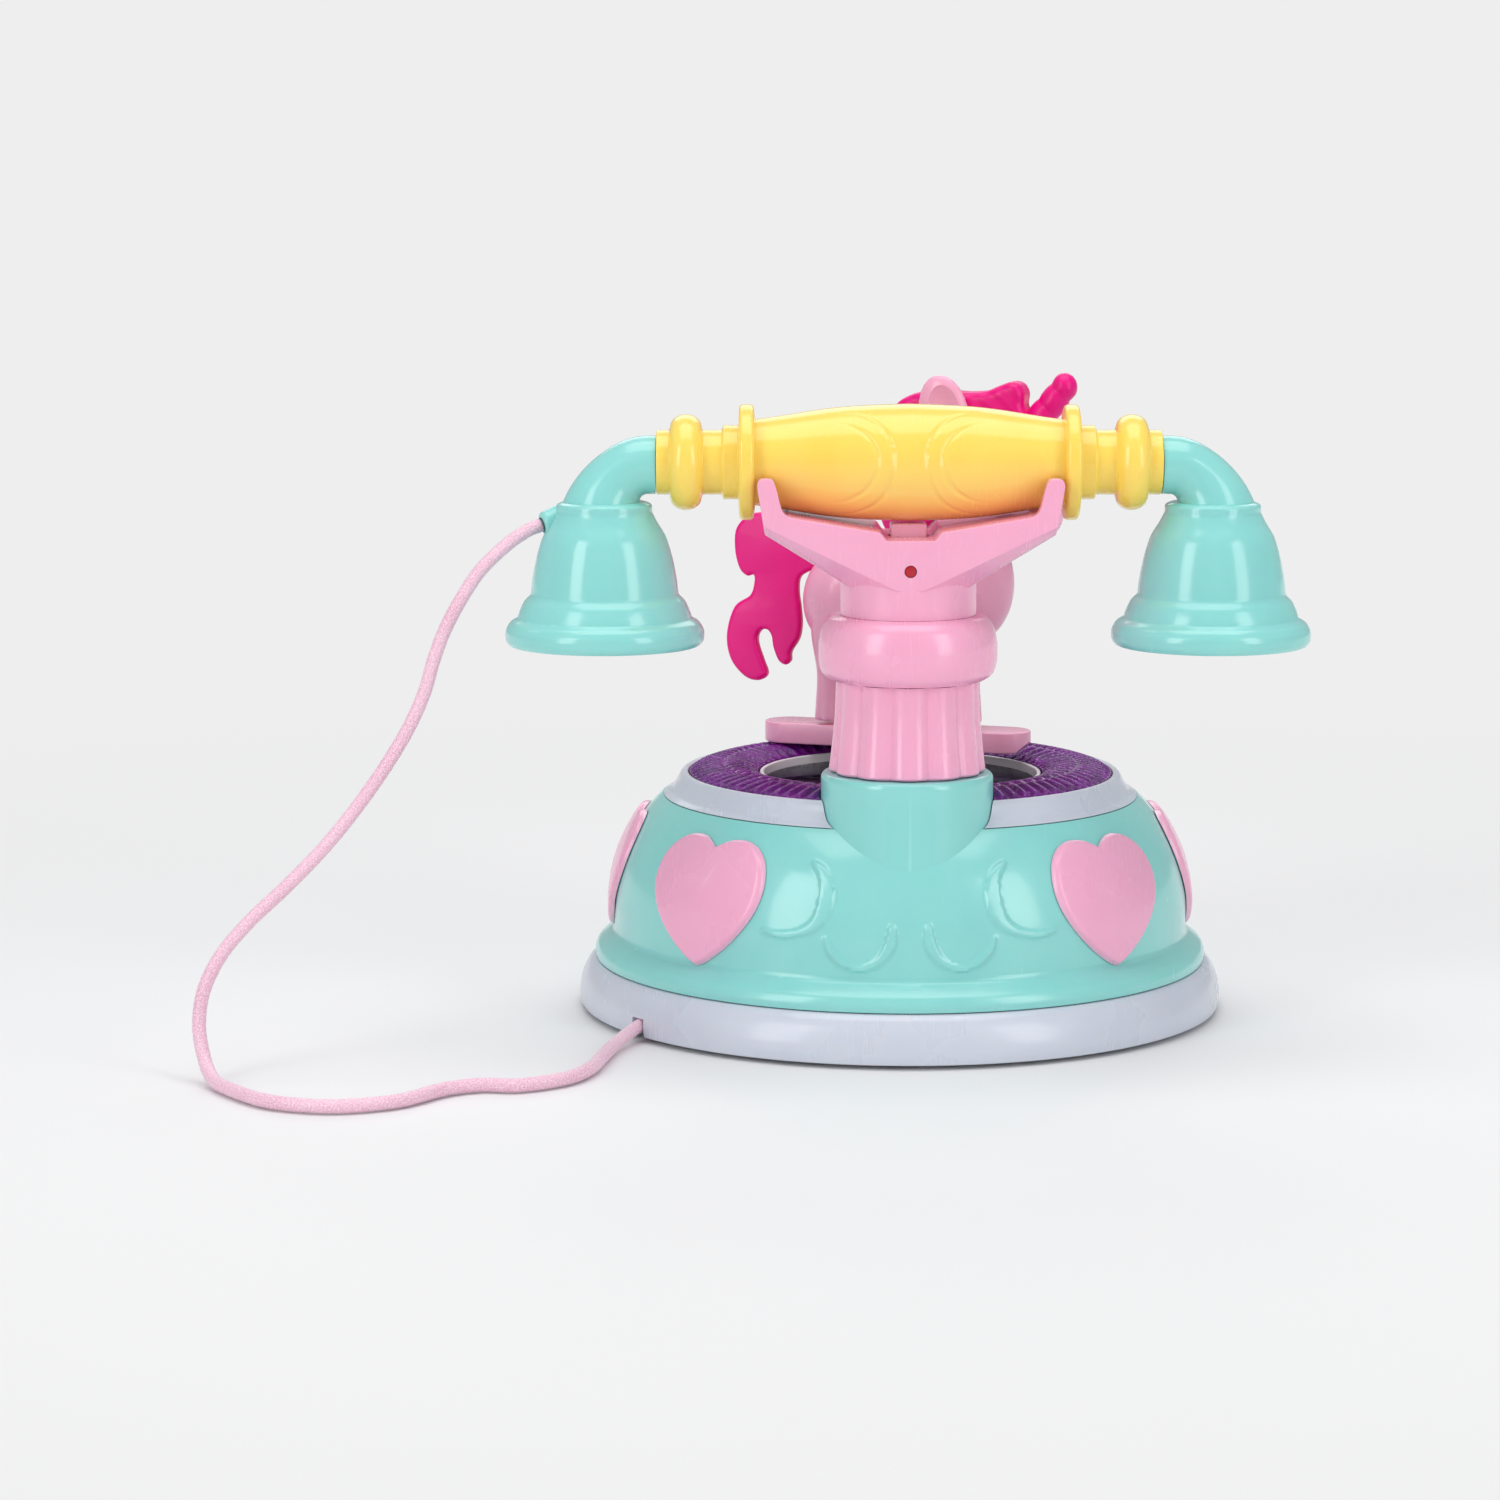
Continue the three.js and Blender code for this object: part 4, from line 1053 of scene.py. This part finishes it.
# The bell's outside from its neck to its lip, then its inside.
BELL = [
    (0, 138.3), (10.6, 138.3, 0.6), (12.1, 137.6, 0.7), (12.1, 135.6, 0.6), (13.4, 133, 1.2),
    (15.6, 129.6, 1.8), (17.2, 124.4, 2.4), (18.3, 118.6, 2), (18.7, 114.8, 0.7), (20.4, 113.2, 0.9),
    (21.6, 110.6, 1.1), (22.1, 109, 0.4), (24, 107.9, 0.8), (25.2, 105.8, 1), (25.1, 103.2, 0.9),
    (24, 102, 0.6), (22.3, 102, 0.3), (22.3, 105.4), (17.2, 112), (16, 120), (14, 129), (10, 134), (0, 134.6),
]


def make_bell(side, word):
    centre = (side * BELL_X, COLUMN_Y)
    bell = turned(f"bell_{word}_turned", rounded(BELL, 8), SIDES, centre)
    finish_piece(bell, "handset", "turquoise_plastic", f"bell_{word}")
    cap = turned("cap", rounded([(0, 102.8), (22, 102.8, 0.3), (22, 104.8, 0.3), (0, 104.8)]), 128)
    holes = [disc("hole", 1.1, 102, 106, sides=20)]
    for ring, count in ((5, 6), (10, 12)):
        for angle in angles_round(count):
            holes.append(disc("hole", 1.1, 102, 106, (ring * math.cos(angle), ring * math.sin(angle)), 20))
    combine(cap, join("holes", holes))
    move(cap, (*centre, 0))
    cap.name = f"bell_cap_{word}_grille"
    finish_piece(cap, "handset", "turquoise_plastic", f"bell_cap_{word}")


def make_eyelet():
    """A short tapered sleeve on the left bell, where the cord comes out."""
    outline = rounded([(2, -3.4), (3.8, -3.4), (3.2, 0.6, 0.6), (2.6, 1.3, 0.4), (2, 1.3)])
    sleeve = turned("cord_eyelet", outline, 40)
    towards = Vector((0.9, 0.36, -0.25)).to_track_quat("Z", "Y").to_matrix().to_4x4()
    sleeve.data.transform(towards)
    move(sleeve, (91, 48.7, 132.8))
    finish_piece(sleeve, "handset", "turquoise_plastic")


def make_handset():
    make_handle()
    for side, word in ((1, "left"), (-1, "right")):
        make_elbow(side, word)
        make_bell(side, word)
    make_eyelet()


# ---- unicorn, made in its own frame: +X is forward and the turntable's axis is the origin ----


def ball(centre, radii, tilt=0.0, name="ball"):
    """A sphere stretched to three radii and tilted about Y."""
    made = bmesh.new()
    bmesh.ops.create_uvsphere(made, u_segments=40, v_segments=24, radius=1)
    made.transform(Matrix.Diagonal((*radii, 1)))
    made.transform(Matrix.Rotation(tilt, 4, "Y"))
    made.transform(Matrix.Translation(centre))
    made.transform(Matrix.Scale(MM, 4))
    mesh = bpy.data.meshes.new(name)
    made.to_mesh(mesh)
    made.free()
    return link(name, mesh)


def limb(stations):
    """A round limb through stations of (x, y, z, radius)."""
    angles = angles_round(28)
    return surface("limb", [ring_points((x, y), r, z, angles) for x, y, z, r in smooth_path(stations, 6)])


# From the hoof up into the body. Both legs share their heights and how far they spread from the middle.
LEG_HEIGHTS = (72, 78, 86, 95, 104)
LEG_SPREADS = (1, 1, 1.08, 1.24, 1.35)
HIND_LEG = [(-18.8, 3.4), (-18.7, 3.1), (-18.4, 3.2), (-18, 4.8), (-17, 5.6)]
FRONT_LEG = [(19.5, 3.5), (19.4, 3.1), (19, 3.2), (18.5, 4.2), (18, 5)]


def leg(stations, side):
    """A leg from its places along X and its radii there."""
    levels = zip(stations, LEG_SPREADS, LEG_HEIGHTS)
    return limb([(x, side * 3.7 * spread, height, radius) for (x, radius), spread, height in levels])


def unicorn_solid():
    """The body, legs, neck, head and ears, blended into one soft form."""
    parts = [
        ball((1, 0, 107), (27, 10.5, 15)),
        ball((-14, 0, 104.5), (12.5, 10.8, 14.5)),
        ball((19.5, 0, 110.5), (13, 9.8, 17)),
        ball((23, 0, 141), (16.5, 12.3, 15.2)),
        ball((37, 0, 129.8), (9, 8.2, 8.2)),
        limb([(17, 0, 110, 9.4), (18, 0, 118, 8.6), (19, 0, 127, 8.4), (20, 0, 138, 8.6)]),
    ]
    for side in (-1, 1):
        parts.append(leg(HIND_LEG, side))
        parts.append(leg(FRONT_LEG, side))
    parts.append(ball((14.6, -6.6, 156.4), (6.9, 2.6, 10.4), math.radians(-12)))
    parts.append(ball((12.6, 6.6, 155), (6.2, 2.6, 10), math.radians(-30)))
    solid = join("unicorn", parts)
    modify(solid, "REMESH", mode="VOXEL", voxel_size=0.7 * MM)
    return modify(solid, "SMOOTH", factor=0.5, iterations=6)


def carve_face(solid):
    """Ear hollows, nostrils and a quiet mouth line."""
    combine(solid, ball((15.4, -9.5, 157.4), (4.6, 2.4, 7.6), math.radians(-12)))
    combine(solid, ball((13, 9.5, 156.4), (4, 2.2, 7), math.radians(-30)))
    for side in (-1, 1):
        combine(solid, ball((45, side * 3.4, 132), (1.3, 0.8, 0.9)))
    line = [(7.9 + 0.35 * math.cos(a), 126.4 + 0.35 * math.sin(a)) for a in angles_round(12)]
    combine(solid, turned("mouth", line, 96, (37.4, 0)))


def finish_on_turntable(obj, slot, *nodes, sharp=34):
    """Turns a piece from the unicorn's frame into the telephone's, and finishes it."""
    move(obj, (0, TURNTABLE_Y, 0), UNICORN_TURN)
    finish_piece(obj, "turntable", slot, *nodes, sharp=sharp)


def make_unicorn_body():
    solid = unicorn_solid()
    carve_face(solid)
    for side, word in ((1, "left"), (-1, "right")):
        half = half_of(solid, f"unicorn_{word}_shell", side, 0, 0.06)
        finish_on_turntable(half, "pink_plastic", f"unicorn_{word}_half")
        eye = ball((0, 0, 0), (2.5, 1.1, 3.5), name=f"unicorn_eye_{word}")
        move(eye, (30.2, side * 10.7, 142.6), -side * math.radians(20))
        finish_on_turntable(eye, "black_plastic")
        glint = ball((31, side * 11.6, 144.3), (0.8, 0.5, 0.9), name=f"unicorn_glint_{word}")
        finish_on_turntable(glint, "white_plastic")
    bpy.data.objects.remove(solid)


MANE = [
    (35.6, 158.4), (35.8, 161.5), (34.6, 164), (32.2, 164.8), (28.8, 163.7), (25, 162.2), (19, 161.8),
    (12.5, 162.3), (6, 161.4), (1, 159), (-1.6, 155), (-2.6, 149), (-1.4, 144), (-3.6, 138),
    (-4.6, 131), (-3, 125), (1, 121.4), (5, 121.6), (11, 128), (11, 138), (18, 147),
    (28, 148.5), (36, 150), (37.4, 154.6),
]
TAIL = [
    (-45.7, 123.6), (-46.3, 117.7), (-45, 112.4), (-42.8, 110.3), (-40.9, 110.6), (-40.7, 108.6),
    (-41.9, 105), (-46.4, 101.7), (-48.7, 94), (-47.5, 87.2), (-43.5, 82.6), (-39.5, 81.6),
    (-36.9, 83.4), (-38.1, 87.2), (-39.6, 91.5), (-39.6, 94), (-38.4, 95.6), (-36.8, 95.6),
    (-35.7, 94), (-35.2, 91), (-33.7, 87.4), (-31.7, 86.2), (-30.2, 87.4), (-30, 89.8),
    (-27.8, 93.5), (-27.1, 97.5), (-27.4, 102), (-28, 106.5), (-27.4, 110.5), (-23.6, 113),
    (-20, 117), (-25, 123), (-33, 127), (-41, 127.5),
]
HORN_FOOT = Vector((32, 0, 145))
HORN_TIP = Vector((48.2, 0, 166.4))


def closed_path(points, steps):
    """A smooth closed outline through the points."""
    looped = [points[-1], *points, points[0], points[1]]
    return smooth_path(looped, steps)[steps:-steps - 1]


def comb(points):
    """Sinks shallow locks into the sides of the mane."""
    locks = np.sin(points[:, 0] * 0.55 + points[:, 2] * 0.62) ** 2
    points[:, 1] *= 1 - 0.05 * locks
    return points


def make_hair():
    mane = flat_shape("unicorn_mane_locks", closed_path(MANE, 5), 10, 2.4)
    modify(mane, "REMESH", mode="VOXEL", voxel_size=0.6 * MM)
    reshape(mane, comb)
    finish_on_turntable(mane, "magenta_plastic", "unicorn_mane")
    tail = flat_shape("unicorn_tail_curls", closed_path(TAIL, 5), 3.6, 1.3)
    finish_on_turntable(tail, "magenta_plastic", "unicorn_tail")


def make_horn():
    """A blunt horn with a few raised bands that lean round it."""
    length = (HORN_TIP - HORN_FOOT).length
    outline = [(0, 0)]
    for t in np.linspace(0, 1, 60):
        taper = 4.7 - 1.3 * t
        cap = math.sqrt(max(0, 1 - max(0, (t - 0.87) / 0.13) ** 2))
        band = 0.55 * abs(math.sin(t * 5 * math.pi)) ** 0.45
        outline.append((max(0.001, (taper - 0.55 + band) * cap), t * length))
    horn = turned("unicorn_horn_banded", outline[:-1] + [(0, length)], 64)
    lean = (HORN_TIP - HORN_FOOT).to_track_quat("Z", "Y").to_matrix().to_4x4()
    reshape(horn, lambda points: points + 0.12 * points[:, 1:2] * (0, 0, 1))
    horn.data.transform(lean)
    move(horn, tuple(HORN_FOOT))
    finish_on_turntable(horn, "magenta_plastic", "unicorn_horn", sharp=60)


def make_platform():
    ends = [(30.4 + 7 * math.cos(a), 7 * math.sin(a)) for a in np.linspace(-math.pi / 2, math.pi / 2, 25)]
    outline = ends + [(-x, -y) for x, y in ends]
    platform = flat_shape("platform_bar", outline, 5.6, 0.5, axis="Z")
    move(platform, (0, 0, 68.2))
    wedge = [(38.4, 64.4), (38.4, 69), (33.4, 64.4)]
    rows = [[(x, y, z) for x, z in wedge] for y in (-20, 20)]
    combine(platform, surface("wedge", rows))
    finish_on_turntable(platform, "pink_plastic", "platform")


def make_spindle():
    """The shaft with its flange, seen between the platform and the mirror."""
    outline = rounded([(0, 46.5), (3, 46.5, 0.2), (3, 61.4), (7, 61.4, 0.3), (7, 65.1, 0.3), (0, 65.1)])
    spindle = turned("turntable_spindle", outline, 96, (0, TURNTABLE_Y))
    finish_piece(spindle, "turntable", "white_plastic", "turntable_shaft")


def make_turntable():
    make_platform()
    make_spindle()
    make_unicorn_body()
    make_hair()
    make_horn()


make_base()
make_column()
make_collar()
make_cradle()
make_handset()
make_turntable()
